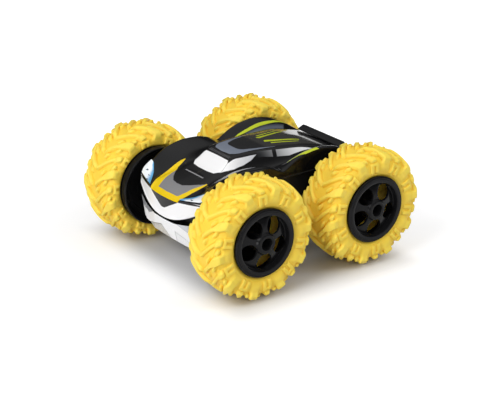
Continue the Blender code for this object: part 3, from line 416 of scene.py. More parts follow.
def plan(station, share):
    """Where a point of the body lies in plan: bowed ends and drawn-in corners."""
    near_end = np.maximum(0.0, (np.abs(station) - BOW_FROM) / (1 - BOW_FROM))
    corner = np.maximum(0.0, (np.abs(station) - CORNER_FROM) / (1 - CORNER_FROM))
    x = share * (BODY_HALF - CORNER_INSET * corner * corner)
    return x, station * BODY_END - np.copysign(NOSE_BOW * near_end * share * share, station)


def upper_keys(station):
    """Key points of the upper shell's section, as shares of the width and heights."""
    centre, crest = along(CENTRE_Z, station), along(CREST_Z, station)
    shares = [0.0, along(DECK_X, station), along(VALLEY_X, station), along(RIDGE_X, station), CREST_X, 1.0]
    heights = [centre, centre - along(DECK_DROP, station), along(VALLEY_Z, station),
               crest - along(RIDGE_DROP, station), crest, crest - EDGE_DROP]
    return shares, heights


def upper_height(station, share, roundness=0.6):
    """Height of the upper shell, between a smooth section and one with creases at its key points."""
    shares, heights = upper_keys(station)
    smooth = along(list(zip(shares, heights)), share)
    return roundness * smooth + (1 - roundness) * np.interp(share, shares, heights)


def out_by(x, y, distance):
    """A point of the left half's outline moved straight out of the body."""
    if x / BODY_HALF > SIDE_FROM:
        return x + distance, y
    return x, y + math.copysign(distance, y)


def upper_seam(x, y):
    """Height of the upper shell's foot, by the way round the outline from the middle of the nose or tail."""
    way = abs(x) + BODY_END - abs(y)
    return float(AXLE_Z - SEAM_NOSE + SEAM_RISE * ease((way - SEAM_START) / SEAM_RUN))


def skirt(piece, foot, shares):
    """Extrudes the open rim of a half shell in steps towards foot(x, y, z), which gives a point."""
    edit(piece)
    bpy.ops.mesh.select_mode(type="EDGE")
    bpy.ops.mesh.select_all(action="DESELECT")
    bpy.ops.mesh.select_non_manifold(extend=False, use_wire=False, use_boundary=True,
                                     use_multi_face=False, use_non_contiguous=False, use_verts=False)
    leave_edit()
    points = points_of(piece)
    for edge in piece.data.edges:
        if max(points[v, 0] for v in edge.vertices) < 0.01 * MM:
            edge.select = False
    ends = {}

    def place(point):
        return tuple(np.rint(point / (0.001 * MM)).astype(int))

    for share in shares:
        bpy.ops.object.mode_set(mode="EDIT")
        bpy.ops.mesh.extrude_edges_move()
        leave_edit()
        chosen = np.zeros(len(piece.data.vertices), bool)
        piece.data.vertices.foreach_get("select", chosen)
        points = points_of(piece)
        for i in np.flatnonzero(chosen):
            top, bottom = ends.pop(place(points[i]), (points[i].copy(), np.array(foot(*points[i]))))
            points[i] = top + (bottom - top) * share
            ends[place(points[i])] = (top, bottom)
        set_points(piece, points)


def finish_shell(piece, wall):
    """Mirrors a half shell, rounds it and gives it its wall."""
    modify(piece, "MIRROR", use_axis=(True, False, False), merge_threshold=0.02 * MM)
    face_up(close_up(piece))
    modify(piece, "SUBSURF", levels=1, render_levels=1)
    modify(piece, "SOLIDIFY", thickness=wall, offset=-1.0, use_quality_normals=True)
    return shade(piece, 50)


def upper_finish(look):
    """Gloss black with the printed panels: hood outline, bare plate, windscreen band, windows and stripes;
    painted reflections on the windows, roof and inner flanks, a painted highlight on the scoop's slit and
    painted shade on the plate's side facets.
    """
    made = Finish("gloss_black_body", look.black, 0.1, specular=0.3)
    aside = made.math("ABSOLUTE", made.x)
    top = made.flat(aside, made.y)
    nose = made.flat(aside, made.z)
    painted = look.black

    def lay(mask, colour):
        nonlocal painted
        painted = made.mix(mask, painted, colour)

    # Hood: yellow outline, grey inside, black tongue, with a longer arm on the car's right side
    left = made.flat(made.x, made.y)
    right = made.flat(made.math("MULTIPLY", made.x, -1.0), made.y)
    above = made.math("GREATER_THAN", made.z, 61.8 * MM)
    hood = (
        (look.yellow,
         [(-1, -84), (16.5, -82), (18.8, -79.6), (20.7, -73.1), (21.2, -64.3), (21.2, -54.6), (-1, -54.4)],
         [(-1, -84), (16.5, -82), (18.6, -79.6), (22, -72.6), (23.9, -63.1), (24.7, -55), (25.2, -47),
          (25, -43), (-1, -43)]),
        (look.grey,
         [(-1, -77.6), (12.6, -76.8), (13.8, -75.8), (16.7, -70.8), (18.5, -62.5), (20.2, -54.4),
          (-1, -54.4)],
         [(-1, -77.6), (12.6, -76.8), (13.6, -75.9), (15, -69), (23.6, -43.1), (-1, -43)]),
        (look.black,
         [(-1, -68.2), (6.6, -67.7), (12, -64.2), (17.6, -59), (20.6, -54.2), (20.4, -52), (-1, -52)],
         [(-1, -68.2), (6, -67.3), (11.2, -63.6), (15.9, -58.5), (21.2, -52.4), (24.8, -42.5), (-1, -42)]),
    )
    for colour, on_left, on_right in hood:
        panel = made.math("MAXIMUM", made.area(left, on_left), made.area(right, on_right))
        lay(made.math("MULTIPLY", panel, above), colour)
    # Painted highlight along the slit at the rear of the hood's scoop
    lay(made.area(top, [(-1, -52.5), (11.5, -52.3), (11.3, -51.3), (-1, -51.5)]), (0.3, 0.3, 0.31))
    # Plate before the windscreen, and its side facets, white with painted shade that darkens them towards the
    # rear
    fade = made.between(made.y, -36 * MM, -4 * MM)
    lay(made.area(top, [(-1, -44.3), (5.4, -44.2), (13.2, -43.2), (17, -39.2), (15.6, -31.9), (14.3, -30.3),
                        (-1, -30.3)]), look.white)
    lay(made.area(top, [(17.2, -39.2), (19.2, -34), (20.4, -29), (20.9, -20.8), (20.7, -12.8), (19.6, -7.2),
                        (15.8, -31.9)]), made.mix(fade, look.white, look.shade))
    # Row of fine ticks between the plate and the windscreen
    slant = made.math("MULTIPLY_ADD", made.y, 0.5, made.x)
    comb = made.math("FRACT", made.math("MULTIPLY", slant, 1 / (1.5 * MM)))
    row = made.area(top, [(-1, -29.2), (13.4, -28.8), (13.2, -27), (-1, -27.4)])
    lay(made.math("MULTIPLY", made.math("GREATER_THAN", comb, 0.55), row), (0.09, 0.09, 0.095))
    # Windscreen band and the dark glass inside it
    lay(made.area(top, [(-1, -26.2), (9.4, -25.1), (12.4, -22.4), (13.8, -19), (17.2, 12), (17, 14),
                        (-1, 14)]), look.glass)
    lay(made.area(top, [(-1, -15.9), (5, -15.6), (8, -14.4), (9.7, -12.6), (12.6, -5.2), (14.9, 4.3),
                        (17.2, 14.5), (-1, 14.5)]), (0.02, 0.0205, 0.021))
    # Side windows, dark in front and pale towards the rear with a painted reflection, with a pillar across
    pale = made.between(made.y, -6 * MM, 38 * MM)
    lay(made.area(top, [(18, -6.5), (21, -6.5), (23.2, 6), (25.5, 20.5), (25.9, 44), (23.4, 30)]),
        made.mix(pale, (0.012, 0.013, 0.015), (0.78, 0.79, 0.82)))
    lay(made.area(top, [(19.4, 7.4), (20.6, 10.8), (24.6, 9.4), (23.7, 6)]), look.black)
    # Painted grey-blue reflection on the inner flanks of the rear bulges
    flank_reflection = made.area(top, [(28.6, 16), (32.8, 22), (33.2, 42), (33, 60), (29, 58), (28, 40)], 1.5 * MM)
    lay(flank_reflection, shaded(look.glass, 0.6))
    # Painted sheen on the roof behind the windscreen, with tapered pairs along it and a stripe on each rear
    # bulge, and one more stripe on the left bulge's outer side
    roof_sheen = made.area(top, [(-1, 4), (15, 6), (19.5, 30), (22, 52), (20, 58), (-1, 60)], 3 * MM)
    lay(roof_sheen, (0.042, 0.041, 0.038))
    for stripe in ([(33.6, 9), (35.4, 20), (35.9, 42), (36.6, 57), (35, 66), (33.8, 42), (33.3, 20)],
                   [(2.8, 12.5), (5.8, 11), (11.8, 41), (10.4, 42)],
                   [(8.6, 15), (10.2, 14.2), (15, 38), (14.2, 38.6)]):
        lay(made.area(top, stripe), look.lime)
    lay(made.area(left, [(37.6, 8.5), (41.9, 34), (44, 35), (44, 22), (41, 13.8), (38.4, 8.2)]), look.lime)
    # White bumper on the nose's wall, notched in the middle, with a fine line over it
    wings = made.area(nose, [(1, 52.3), (18.6, 62), (41, 64.4), (60, 64.4), (60, 40), (1, 40)])
    notch = made.area(nose, [(-1, 40), (2.4, 40), (2.4, 53), (-1, 52.7)])
    ahead = made.math("LESS_THAN", made.y, -66 * MM)
    line = made.area(nose, [(20, 63.1), (41, 65.3), (60, 65.4), (60, 66.1), (41, 66), (20, 63.9)])
    bumper = made.math("MAXIMUM", made.math("MAXIMUM", wings, notch), line)
    lay(made.math("MULTIPLY", bumper, ahead), look.white)
    made.paint(painted)
    scoop = made.area(top, [(-1, -56.5), (7, -56), (9.5, -50), (-1, -49.5)], 0.8 * MM)
    relief = made.math("MULTIPLY_ADD", made.noise(260, 2.0), 0.02, scoop)
    return made.grained(made.noise(900, 4.0), (0.07, 0.14), 0.5, 0.35 * MM, relief)


def under_finish(look):
    """White plastic, with painted shade: grey on the sunk facets beside the chin and under the seam, and
    black on the rim under the seam.
    """
    made = Finish("white_under_body", look.under, 0.26, specular=0.4)
    aside = made.math("ABSOLUTE", made.x)
    nose = made.flat(aside, made.z)
    white = made.mix(made.noise(35, 3.0), look.under, shaded(look.under, 0.97))
    ahead = made.math("LESS_THAN", made.y, -58 * MM)
    facet = made.area(nose, [(11, 45.8), (31, 48.5), (46, 49), (46, 40), (29, 37.5)], 0.5 * MM)
    chin = made.area(nose, [(2, 18), (9.5, 34.5), (36, 25.5), (44, 18)], 0.5 * MM)
    sunk = made.math("MULTIPLY", made.math("MAXIMUM", facet, chin), ahead)
    # Painted shade: grey on the sunk facets, and only a little on the chin between them
    tone = made.math("MAXIMUM", facet, made.math("MULTIPLY", chin, 0.15))
    outside = made.mix(made.math("MULTIPLY", tone, ahead), white, look.shade)
    # Painted shade: the rim under the seam, which faces up, is painted black
    facing = made.node("ShaderNodeNewGeometry").outputs["True Normal"]
    up = made.node("ShaderNodeSeparateXYZ", {0: facing}).outputs[2]
    made.paint(made.mix(made.math("GREATER_THAN", up, 0.6), outside, look.black))
    # The sunk facets fall away outwards, and the chin between them leans forward towards its foot
    slope = made.math("MULTIPLY_ADD", aside, -0.5 / MM, -0.8)
    lean = made.math("MULTIPLY", made.math("MULTIPLY", made.z, -0.8 / MM), ahead)
    facets = made.math("MULTIPLY_ADD", sunk, slope, lean)
    relief = made.math("MULTIPLY_ADD", made.noise(1400, 2.0), 0.004, facets)
    return made.grained(made.noise(700, 4.0), (0.2, 0.32), 1.0, MM, relief)


class StuntCarUpperShell(bpy.types.Operator):
    """Makes the upper shell as a fine moulding along the body's lines, with its printed panels and painted
    light.
    """
    bl_idname = "stunt_car.upper_shell"
    bl_label = "Upper shell"

    def execute(self, context):
        look = context.scene.stunt_car_body
        # Faces across each span between the section's key points
        spans = (7, 6, 5, 6, 3)
        starts = [np.linspace(i, i + 1, faces, endpoint=False) for i, faces in enumerate(spans)]
        across = np.concatenate([*starts, [len(spans)]])
        rows = 96
        piece, column, row = grid("upper_shell_body", len(across) - 1, rows)
        points = points_of(piece)
        for r in range(rows + 1):
            station = -1 + 2 * r / rows
            shares, _ = upper_keys(station)
            share = np.interp(across, np.arange(len(shares)), shares)
            x, y = plan(station, share)
            line = np.stack([x, y, AXLE_Z + upper_height(station, share) * MM], 1)
            points[row == r] = line[column[row == r]]
        set_points(piece, points)
        # Wall down to the seam, with a fine bead along its foot
        bead = 0.5 * MM
        skirt(piece, lambda x, y, z: (x, y, upper_seam(x, y) + 2 * bead), (0.1, 0.4, 0.75, 1.0))
        skirt(piece, lambda x, y, z: (*out_by(x, y, bead), z - 0.5 * bead), (0.5, 1.0))
        skirt(piece, lambda x, y, z: (x, y, upper_seam(x, y)), (0.3, 1.0))
        finish_shell(piece, look.wall)
        dress(piece, upper_finish(look), "body", "gloss_black", "upper_shell")
        return {"FINISHED"}


def tyre_halves(rows):
    """Outer and inner half of the carcass from the crown to the bead: radius, width, normal and run."""
    crown = [(44.3, 0), (43.9, 7.0), (42.5, 12.4), (40.0, 16.2)]
    outer = crown + [(36.6, 18.0), (32.8, 18.3), (29.2, 17.6), (26.2, 15.9)]
    inner = crown + [(38.2, 17.6), (35.6, 18.2), (33.0, 17.9), (31.3, 16.6)]
    halves = []
    for line in (outer, inner):
        keys = np.array(line, float) * MM
        run = np.concatenate([[0], np.cumsum(np.hypot(*np.diff(keys, axis=0).T))])
        at = np.linspace(0, run[-1], rows)
        radius = along(list(zip(run, keys[:, 0])), at)
        width = along(list(zip(run, keys[:, 1])), at)
        climb, spread = np.gradient(radius, at), np.gradient(width, at)
        size = np.hypot(climb, spread)
        halves.append((radius, width, spread / size, -climb / size, at))
    return halves


def lugs(turn, run, radius, look, shoulder, end):
    """Height of the tread over the carcass: turn from a bar's crown end, run from the crown."""
    pitch = math.tau / look.pitches
    part = np.clip(run / shoulder, 0, 1)
    sweep = -look.sweep * (0.5 * part + 0.5 * ease(part))
    slant = 1 - 0.2 * ease((1.1 * shoulder - run) / (0.2 * shoulder))
    over = ease((run / shoulder - 1) / 0.22)

    def across(centre):
        return ((turn - centre + pitch / 2) % pitch - pitch / 2) * radius

    def ridge(distance, half, edge):
        return ease((half - np.abs(distance)) / edge + 0.5)

    def from_to(start, stop, edge):
        return ease((run - start) / edge) * ease((stop - run) / edge)

    # Long bars: narrow at the crown, high blocks at the shoulder, then broad and low
    half = look.bar_width * (0.25 + 0.25 * ease((run / shoulder - 0.55) / 0.3) + 0.12 * over)
    bar = ridge(across(sweep) * slant, half, (1.0 + 3.0 * over) * MM) * from_to(-0.8 * MM, end, 6 * MM)
    tread = look.lug_height * (1 - 0.66 * over) * bar
    # Knobs where the long and the thin bars turn over the shoulder
    knob = from_to(0.76 * shoulder, 1.12 * shoulder, 1.9 * MM)
    tread += 0.6 * MM * knob * ridge(across(sweep) * slant, 0.46 * look.bar_width, 2.4 * MM)
    second = ridge(across(sweep + pitch / 2) * slant, 0.36 * look.bar_width, 2.4 * MM)
    tread = np.maximum(tread, 0.9 * look.lug_height * knob * second)
    # Thin bars between them, lower towards the shoulder
    thin = ridge(across(sweep + pitch / 2) * slant, 0.22 * look.bar_width, 1.0 * MM)
    thin = thin * (0.9 - 0.35 * part) * from_to(0.6 * MM, 1.0 * shoulder, 1.4 * MM)
    tread = np.maximum(tread, look.lug_height * thin)
    # Small nubs beside the bars
    for place, offset in ((0.3, 5.6), (0.72, 5.2), (0.5, -5.4), (0.92, -5.6)):
        off = np.hypot(run - place * shoulder, (across(sweep) - offset * MM) * slant)
        tread = np.maximum(tread, 2.3 * MM * ease((2.4 * MM - off) / (1.4 * MM)))
    # Notched blocks on the sidewall, open towards the rim
    spot = across(-look.sweep + pitch / 2)
    block = ridge(spot, look.block_width / 2, 0.6 * MM) * from_to(1.08 * shoulder, end - 0.4 * MM, 0.9 * MM)
    notch = ridge(spot, 1.1 * MM, 0.9 * MM) * ease((run - 1.22 * shoulder) / (0.7 * MM))
    return np.maximum(tread, 1.15 * MM * np.clip(block - notch, 0, 1))


class StuntCarTyres(bpy.types.Operator):
    """Makes the hollow soft tyres, with swept bars and notched blocks moulded on each shoulder."""
    bl_idname = "stunt_car.tyres"
    bl_label = "Tyres"

    def execute(self, context):
        look = context.scene.stunt_car_wheels
        half_rows, lining, turns = 70, 10, 600
        halves = tyre_halves(half_rows)
        # One loop round the section: outer bead, crown, inner bead, and back along the lining
        rows = 2 * half_rows - 1 + lining
        base, column, row = grid("tyre", turns, rows)
        turn = column / turns * math.tau
        r, u, raised = (np.zeros(len(row)) for _ in range(3))
        pitch = math.tau / look.pitches
        first_bar = {1: math.radians(22.5), -1: math.radians(13.5)}  # on the left and the right wheels
        shoulder = 17.5 * MM
        bare = (3.6 * MM, 1.6 * MM)  # rubber without tread next to each bead
        for inner, (radius, width, out_r, out_u, run) in enumerate(halves):
            if inner:
                which = (row >= half_rows) & (row < 2 * half_rows - 1)
                index = row[which] - half_rows + 1
            else:
                which = row < half_rows
                index = half_rows - 1 - row[which]
            start = first_bar[1] + inner * pitch / 2
            end = run[-1] - bare[inner]
            lift = lugs(turn[which] - start, run[index], radius[index], look, shoulder, end)
            r[which] = radius[index] + out_r[index] * lift
            u[which] = (1, -1)[inner] * (width[index] + out_u[index] * lift)
            raised[which] = lift / look.lug_height
        # The lining is a plain arc between the beads, and the last row closes the loop on the first
        high, low = halves
        inside = row >= 2 * half_rows - 1
        t = np.clip((row[inside] - 2 * half_rows + 2) / (lining + 1), 0, 1)
        u[inside] = -low[1][-1] + (high[1][-1] + low[1][-1]) * t
        bead = low[0][-1] + (high[0][-1] - low[0][-1]) * t
        r[inside] = bead + (TYRE_R - look.lug_height - look.rubber_wall - bead) * np.sin(t * math.pi) ** 0.5
        closing = row == rows
        r[closing], u[closing] = high[0][-1], high[1][-1]
        set_points(base, np.stack([u, r * np.cos(turn), r * np.sin(turn)], 1))
        keep(base, "lug", raised)
        close_up(base, 0.001 * MM)
        shade(base)
        rubber = self.rubber(look)
        for name, side, end in WHEELS:
            place = wheel_place(side, end, first_bar[side] - first_bar[1])
            piece = copy_of(base, f"{name}_tyre_rubber", place)
            dress(piece, rubber, f"{name}_wheel", "yellow_rubber", f"{name}_tyre")
        bpy.data.objects.remove(base)
        return {"FINISHED"}

    def rubber(self, look):
        """Soft matt rubber, with painted shade: deeper in colour between the bars and orange in the tread's
        corners.
        """
        made = Finish("yellow_rubber_soft", look.rubber, 0.5, specular=0.3)
        attribute = made.node("ShaderNodeAttribute", attribute_name="lug")
        raised = made.math("POWER", made.math("MULTIPLY", attribute.outputs["Fac"], 1.0, clamp=True), 0.7)
        tone = made.math("MULTIPLY_ADD", made.noise(55, 3.0), 0.5, raised, clamp=True)
        # Painted shade: the rubber turns deeper where the tread is low, and orange in the corners that
        # pointiness finds
        crease_shade = made.between(made.node("ShaderNodeNewGeometry").outputs["Pointiness"], 0.43, 0.505)
        height_shaded = made.mix(tone, look.groove, look.rubber)
        made.paint(made.mix(crease_shade, look.crease_shade, height_shaded))
        made.put({"Subsurface Weight": 0.12, "Subsurface Radius": (4 * MM, 2.2 * MM, 0.6 * MM)})
        return made.grained(made.noise(420), (0.42, 0.6), 0.08, 0.15 * MM, made.noise(1500))


class StuntCarRims(bpy.types.Operator):
    """Makes both halves of each rim: the pierced dish outside and the grooved disc inside."""
    bl_idname = "stunt_car.rims"
    bl_label = "Rims"

    def execute(self, context):
        look = context.scene.stunt_car_wheels
        black = Finish("black_rim_plastic", look.rim, 0.2, specular=0.12)
        grain = black.noise(620, 4.0)
        black.paint(black.mix(grain, look.rim, shaded(look.rim, 1.5)))
        black.grained(grain, (0.14, 0.28), 0.06, 0.1 * MM, black.noise(1700, 2.0))
        halves = {"rim": self.outer_half(look), "rim_back": self.inner_half()}
        for name, side, end in WHEELS:
            for kind, base in halves.items():
                piece = copy_of(base, f"{name}_{kind}_moulding", wheel_place(side, end))
                dress(piece, black.material, f"{name}_wheel", "black_plastic", f"{name}_{kind}")
        for base in halves.values():
            bpy.data.objects.remove(base)
        return {"FINISHED"}

    def outer_half(self, look):
        """Lip with a groove, domed dish with five holes, and a proud hub with a deep pocket."""
        lip = HALF_TYRE / MM
        hub = RIM_OUT / MM
        profile = [
            (2.6, 6.0), (4.5, 6.0), (4.6, hub - 0.6), (4.9, hub - 0.1), (5.3, hub), (6.9, hub),
            (7.5, hub - 0.3), (8.0, hub - 1.2), (8.8, lip - 0.9), (14.8, lip - 1.9), (20.5, lip - 4.2),
            (21.1, lip - 4.0), (21.5, lip - 1.1), (21.8, lip - 0.25), (22.3, lip), (24.3, lip),
            (24.6, lip - 0.4), (25.3, lip - 0.45), (25.6, lip - 0.2), (26.2, lip - 0.5), (26.7, lip - 1.2),
            (26.7, lip - 2.1), (25.7, lip - 2.2), (25.6, 6.0), (23.6, 6.3), (23.3, lip - 6.0),
            (20.2, lip - 5.9), (14.4, lip - 3.7), (8.3, lip - 2.8), (8.2, -7.0), (2.6, -7.0),
        ]
        piece = turned("rim", profile, 96)
        cutters = []
        for degree in range(-18, 342, 72):
            turn = math.radians(degree)
            deselect()
            bpy.ops.mesh.primitive_cylinder_add(
                vertices=48, radius=look.hole_radius, depth=12 * MM, rotation=(0, math.pi / 2, 0),
                location=(HALF_TYRE, look.hole_ring * math.cos(turn), look.hole_ring * math.sin(turn)))
            cutters.append(new_piece("rim_hole"))
        return shade(bevel(cut(piece, cutters), 0.35 * MM, 2, 50), 35)

    def inner_half(self):
        """Deep flange off the tyre, sloping in to a disc with turned grooves."""
        face = HALF_TYRE / MM
        back = BACK_OUT / MM
        profile = [
            (8.5, 4.4 - face), (30.9, 4.4 - face), (30.9, 0.1 - face), (31.6, -face), (32.0, -0.5 - face),
            (32.0, 0.6 - back), (31.7, 0.1 - back), (31.0, -back), (30.4, 0.4 - back), (30.0, 1.4 - back),
            (26.4, 1.3 - face), (25.9, 1.7 - face), (24.2, 2.0 - face), (23.9, 2.5 - face),
            (22.9, 2.5 - face), (22.6, 2.0 - face), (17.2, 2.1 - face), (16.9, 2.6 - face),
            (15.9, 2.6 - face), (15.6, 2.1 - face), (11.4, 2.1 - face), (11.0, 2.8 - face), (8.5, 2.8 - face),
        ]
        return shade(turned("rim_back", profile, 96), 35)


class StuntCarTrim(bpy.types.Operator):
    """Makes the spoiler on the tail and the printed headlight lenses on the nose's corners."""
    bl_idname = "stunt_car.trim"
    bl_label = "Spoiler and headlights"

    def execute(self, context):
        look = context.scene.stunt_car_body
        self.spoiler(look)
        glass = self.lens_finish()
        for side, sign in SIDES.items():
            self.headlight(side, sign, glass)
        return {"FINISHED"}

    def spoiler(self, look):
        """A wedge that rises from the deck to a crest near its trailing edge, with rounded ends."""
        low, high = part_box("spoiler")
        deep, tall = high.y - low.y, high.z - low.z
        deck, nose = 2.5 * MM, 0.83 * MM  # height of the deck over the foot, and of the front edge
        crest, fall = 0.75 * deep, 0.5 * MM  # place of the crest, and its fall to the rear edge
        section = [(0, deck), (0, deck + nose), (crest, tall), (deep, tall - fall), (deep, 0)]
        deselect()
        bpy.ops.mesh.primitive_circle_add(vertices=len(section), fill_type="NGON")
        piece = new_piece("spoiler_blade")
        set_points(piece, [(low.x, low.y + y, low.z + z) for y, z in section])
        edit(piece)
        bpy.ops.mesh.extrude_region_move(TRANSFORM_OT_translate={"value": (high.x - low.x, 0, 0)})
        leave_edit()
        close_up(piece)
        corner = piece.data.attributes.new("bevel_weight_edge", "FLOAT", "EDGE")
        for edge, weight in zip(piece.data.edges, corner.data):
            first, last = (piece.data.vertices[v].co for v in edge.vertices)
            upright = (first - last).xy.length < 0.01 * MM
            weight.value = float(upright and first.y > low.y + deep / 2)
        modify(piece, "BEVEL", width=2.0 * MM, segments=6, limit_method="WEIGHT")
        bevel(piece, 0.3 * MM, 3, 40)
        black = Finish("black_blade_plastic", look.black, 0.34, specular=0.2)
        black.paint(black.mix(black.noise(60, 2.0), look.black, (0.014, 0.014, 0.015)))
        black.grained(black.noise(800, 4.0), (0.28, 0.42), 0.1, 0.08 * MM, black.noise(2200, 2.0))
        dress(shade(piece, 40), black.material, "body", "black_plastic", "spoiler")

    def headlight(self, side, sign, glass):
        """A thin lens that follows the shell over the nose's corner and narrows up the wheel bulge."""
        columns, rows = 18, 14
        piece, column, row = grid(f"headlight_{side}_lens", columns, rows)
        keep(piece, "outwards", column / columns)
        points = points_of(piece)
        front, reach = -0.995, 0.175  # stations
        inner = [(0, 0.49), (0.35, 0.58), (0.7, 0.7), (1, 0.86)]  # shares of the width along the reach
        outer = 0.955
        proud, thickness = 0.75 * MM, 0.8 * MM
        for i in range(len(points)):
            station = front + reach * row[i] / rows
            start = float(along(inner, row[i] / rows))
            share = start + (outer - start) * column[i] / columns
            x, y = plan(station, share)
            points[i] = (sign * x, y, AXLE_Z + float(upper_height(station, share)) * MM + proud)
        set_points(piece, points)
        face_up(close_up(piece))
        modify(piece, "SOLIDIFY", thickness=thickness, offset=-1.0)
        dress(shade(bevel(piece, 0.2 * MM, 2, 60), 40), glass, "body", "lens", f"headlight_{side}")

    def lens_finish(self):
        """Clear lens over a white reflector that turns blue towards its inner edge, with a few dark marks."""
        made = Finish("headlight_print", (0.8, 0.86, 0.92), 0.08, specular=0.5, coat=0.4)
        outwards = made.node("ShaderNodeAttribute", attribute_name="outwards").outputs["Fac"]
        wavy = made.math("MULTIPLY_ADD", made.noise(150, 1.0, (1, 2.2, 1)), 0.4, outwards)
        base = made.mix(made.between(wavy, 0.3, 0.62), (0.08, 0.36, 0.68), (0.86, 0.9, 0.94))
        mark = made.between(made.noise(260, 1.0, (1, 1.6, 1)), 0.68, 0.74)
        made.paint(made.mix(mark, base, (0.04, 0.07, 0.11)))
        return made.grained(made.noise(300, 2.0), (0.05, 0.12), 0.03, 0.1 * MM, made.noise(400, 2.0))


class StuntCarFinishes(bpy.types.Operator):
    """Gives the CAD nodes that stay in view or inside their own finishes."""
    bl_idname = "stunt_car.finishes"
    bl_label = "Frame finishes"

    def execute(self, context):
        look = context.scene.stunt_car_body
        made = {
            "black_plastic": self.moulded("black_tub_plastic", (0.012, 0.012, 0.013), 0.3, 0.5),
            "white_plastic": self.moulded("white_door_plastic", look.white, 0.22, 0.36),
            "nylon": self.moulded("nylon_gears", (0.75, 0.74, 0.68), 0.38, 0.55),
            "steel": self.metal("steel_parts", (0.55, 0.55, 0.56), (1, 1, 30)),
            "motor_can": self.metal("motor_can_steel", (0.5, 0.5, 0.52), (40, 1, 1)),
            "brass": self.metal("brass_parts", (0.6, 0.42, 0.14), (1, 30, 1)),
            "contact": self.metal("plated_contacts", (0.62, 0.6, 0.55), (1, 1, 20)),
            "cell_sleeve": self.sleeve(),
            "board": self.board(),
        }
        under = under_finish(look)
        slots = {row["node"]: row["material_slot"] for row in frame["record"]["subparts"]}
        for name, node in frame["nodes"].items():
            if node.hide_render:
                continue
            if name != "lower_shell" and slots[name] not in made:
                raise RuntimeError(f"no finish for {name}, slot {slots[name]}")
            node.data.materials.clear()
            node.data.materials.append(under if name == "lower_shell" else made[slots[name]])
        return {"FINISHED"}

    def moulded(self, name, base, low, high):
        """Moulded plastic with a fine spark-eroded grain."""
        made = Finish(name, base, high, specular=0.4)
        made.paint(made.mix(made.noise(40, 2.0), base, shaded(base, 0.9)))
        return made.grained(made.noise(900, 4.0), (low, high), 0.08, 0.1 * MM)

    def metal(self, name, base, stretch):
        """Metal with drawn lines."""
        made = Finish(name, base, 0.3, metallic=1.0)
        lines = made.noise(300, 3.0, stretch)
        made.paint(made.mix(lines, base, shaded(base, 0.8)))
        return made.grained(lines, (0.2, 0.42), 0.05, 0.05 * MM)

    def sleeve(self):
        """Plain battery sleeve with one pale band."""
        made = Finish("cell_sleeve_print", (0.08, 0.1, 0.14), 0.3)
        band = made.math("LESS_THAN", made.math("ABSOLUTE", made.x), 8 * MM)
        made.paint(made.mix(band, (0.05, 0.07, 0.11), (0.5, 0.52, 0.54)))
        return made.grained(made.noise(500), (0.22, 0.36), 0.05, 0.05 * MM)

    def board(self):
        """Lacquered board with copper tracks."""
        made = Finish("lacquered_board", (0.02, 0.16, 0.06), 0.35)
        wavy = made.math("MULTIPLY_ADD", made.noise(90, 0.0), 4 * MM, made.x)
        comb = made.math("FRACT", made.math("MULTIPLY", wavy, 1 / (2.4 * MM)))
        tracks = made.math("GREATER_THAN", comb, 0.7)
        made.paint(made.mix(tracks, (0.015, 0.12, 0.045), (0.04, 0.24, 0.09)))
        return made.grained(made.noise(400), (0.28, 0.45), 0.3, 0.05 * MM, tracks)


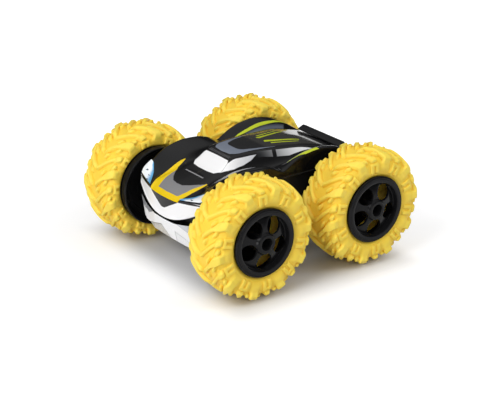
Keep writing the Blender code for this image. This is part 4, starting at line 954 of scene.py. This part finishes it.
class StuntCarStageSet(bpy.types.Operator):
    """Sets the pale floor, the soft studio light and the camera at the photograph's angle."""
    bl_idname = "stunt_car.stage"
    bl_label = "Stage"

    def execute(self, context):
        look = context.scene.stunt_car_stage
        deselect()
        bpy.ops.mesh.primitive_plane_add(size=30.0)
        floor = new_piece("studio_floor")
        floor.data.materials.append(self.floor_finish(look))
        self.light("key_softbox", (0.95, 0.75, 0.9), (0, 0, 0.03), 0.7, 0.65 * look.key, in_gloss=False)
        self.light("front_softbox", (0.3, -1.15, 1.05), (0, 0, 0.05), 0.8, 0.96 * look.key)
        self.light("side_softbox", (1.3, -0.7, 0.7), (0, 0, 0.05), 0.6, 0.3 * look.key)
        self.light("low_softbox", (0.3, -1.4, 0.2), (0, 0, 0.04), 0.4, 0.62 * look.key)
        self.world(context.scene)
        middle = Vector((0, 0, AXLE_Z))
        back = Vector((math.sin(look.azimuth) * math.cos(look.elevation),
                       -math.cos(look.azimuth) * math.cos(look.elevation), math.sin(look.elevation)))
        bpy.ops.object.camera_add(location=middle + back * look.distance)
        camera = bpy.context.object
        camera.name = "camera"
        camera.rotation_euler = (-back).to_track_quat("-Z", "Y").to_euler()
        camera.data.lens = look.lens
        camera.data.sensor_width = 36.0
        camera.data.shift_x = 0.0027
        camera.data.shift_y = -0.0217
        context.scene.camera = camera
        context.scene.view_settings.view_transform = "Standard"
        return {"FINISHED"}

    def light(self, name, at, target, size, power, in_gloss=True):
        """A square lamp aimed at a point, which gloss surfaces mirror or not."""
        bpy.ops.object.light_add(type="AREA", location=at)
        lamp = bpy.context.object
        lamp.name = name
        lamp.data.size = size
        lamp.data.energy = power
        lamp.visible_glossy = in_gloss
        lamp.rotation_euler = (Vector(target) - Vector(at)).to_track_quat("-Z", "Y").to_euler()

    def floor_finish(self, look):
        """Pale matt floor that keeps the car's shadow and turns white away from it, to the eye alone."""
        made = Finish("studio_floor_paper", look.floor, 0.7, specular=0.1)
        made.paint(made.mix(made.noise(3.0), look.floor, shaded(look.floor, 0.985)))
        away = made.node("ShaderNodeVectorMath", {0: made.coordinates}, operation="LENGTH").outputs["Value"]
        path = made.node("ShaderNodeLightPath").outputs
        seen = made.math("MAXIMUM", path["Is Camera Ray"], path["Is Glossy Ray"])
        seen = made.math("MAXIMUM", seen, path["Is Transmission Ray"])
        # White round the car's footprint, a rounded oblong, and whiter further off
        wide = made.math("MULTIPLY", made.math("ABSOLUTE", made.x), 0.83)
        around = made.math("SMOOTH_MAX", wide, made.math("ABSOLUTE", made.y), 20 * MM)
        near = made.math("MULTIPLY", made.between(around, 64 * MM, 98 * MM), 0.5)
        white = made.math("MULTIPLY_ADD", made.between(away, 120 * MM, 420 * MM), 0.4, near)
        made.put({"Emission Color": (1, 1, 1), "Emission Strength": made.math("MULTIPLY", white, seen)})
        return made.material

    def world(self, scene):
        """Soft light from above over a darker horizon; the floor reaches past the view as the background."""
        world = bpy.data.worlds.new("studio")
        scene.world = world
        world.use_nodes = True
        nodes, links = world.node_tree.nodes, world.node_tree.links
        split = nodes.new("ShaderNodeSeparateXYZ")
        links.new(nodes.new("ShaderNodeTexCoord").outputs["Generated"], split.inputs[0])
        fade = nodes.new("ShaderNodeMapRange")
        links.new(split.outputs[2], fade.inputs["Value"])
        for socket, value in {"From Min": 0.45, "From Max": 0.95, "To Min": 0.05, "To Max": 0.9}.items():
            fade.inputs[socket].default_value = value
        links.new(fade.outputs[0], nodes["Background"].inputs["Strength"])
        nodes["Background"].inputs["Color"].default_value = (1, 1, 1, 1)


class StuntCarPanel(bpy.types.Panel):
    """Lists the car's pieces, sizes and colours."""
    bl_idname = "VIEW3D_PT_stunt_car"
    bl_label = "RC Stunt Car"
    bl_space_type = "VIEW_3D"
    bl_region_type = "UI"
    bl_category = "Stunt Car"

    def draw(self, context):
        column = self.layout.column()
        for operator in OPERATORS:
            column.operator(operator.bl_idname)
        for name, kind in GROUPS.items():
            for value in kind.__annotations__:
                column.prop(getattr(context.scene, name), value)


GROUPS = {
    "stunt_car_wheels": StuntCarWheels,
    "stunt_car_body": StuntCarBody,
    "stunt_car_stage": StuntCarStage,
}
OPERATORS = (
    StuntCarUpperShell, StuntCarTyres, StuntCarRims, StuntCarTrim, StuntCarFinishes, StuntCarStageSet,
)


def register():
    for kind in (*GROUPS.values(), *OPERATORS, StuntCarPanel):
        bpy.utils.register_class(kind)
    for name, kind in GROUPS.items():
        setattr(bpy.types.Scene, name, bpy.props.PointerProperty(type=kind))


def unregister():
    for name in GROUPS:
        delattr(bpy.types.Scene, name)
    for kind in reversed((*GROUPS.values(), *OPERATORS, StuntCarPanel)):
        bpy.utils.unregister_class(kind)


def main():
    register()
    for step in ("upper_shell", "tyres", "rims", "trim", "finishes", "stage"):
        getattr(bpy.ops.stunt_car, step)()


if __name__ == "__main__":
    main()
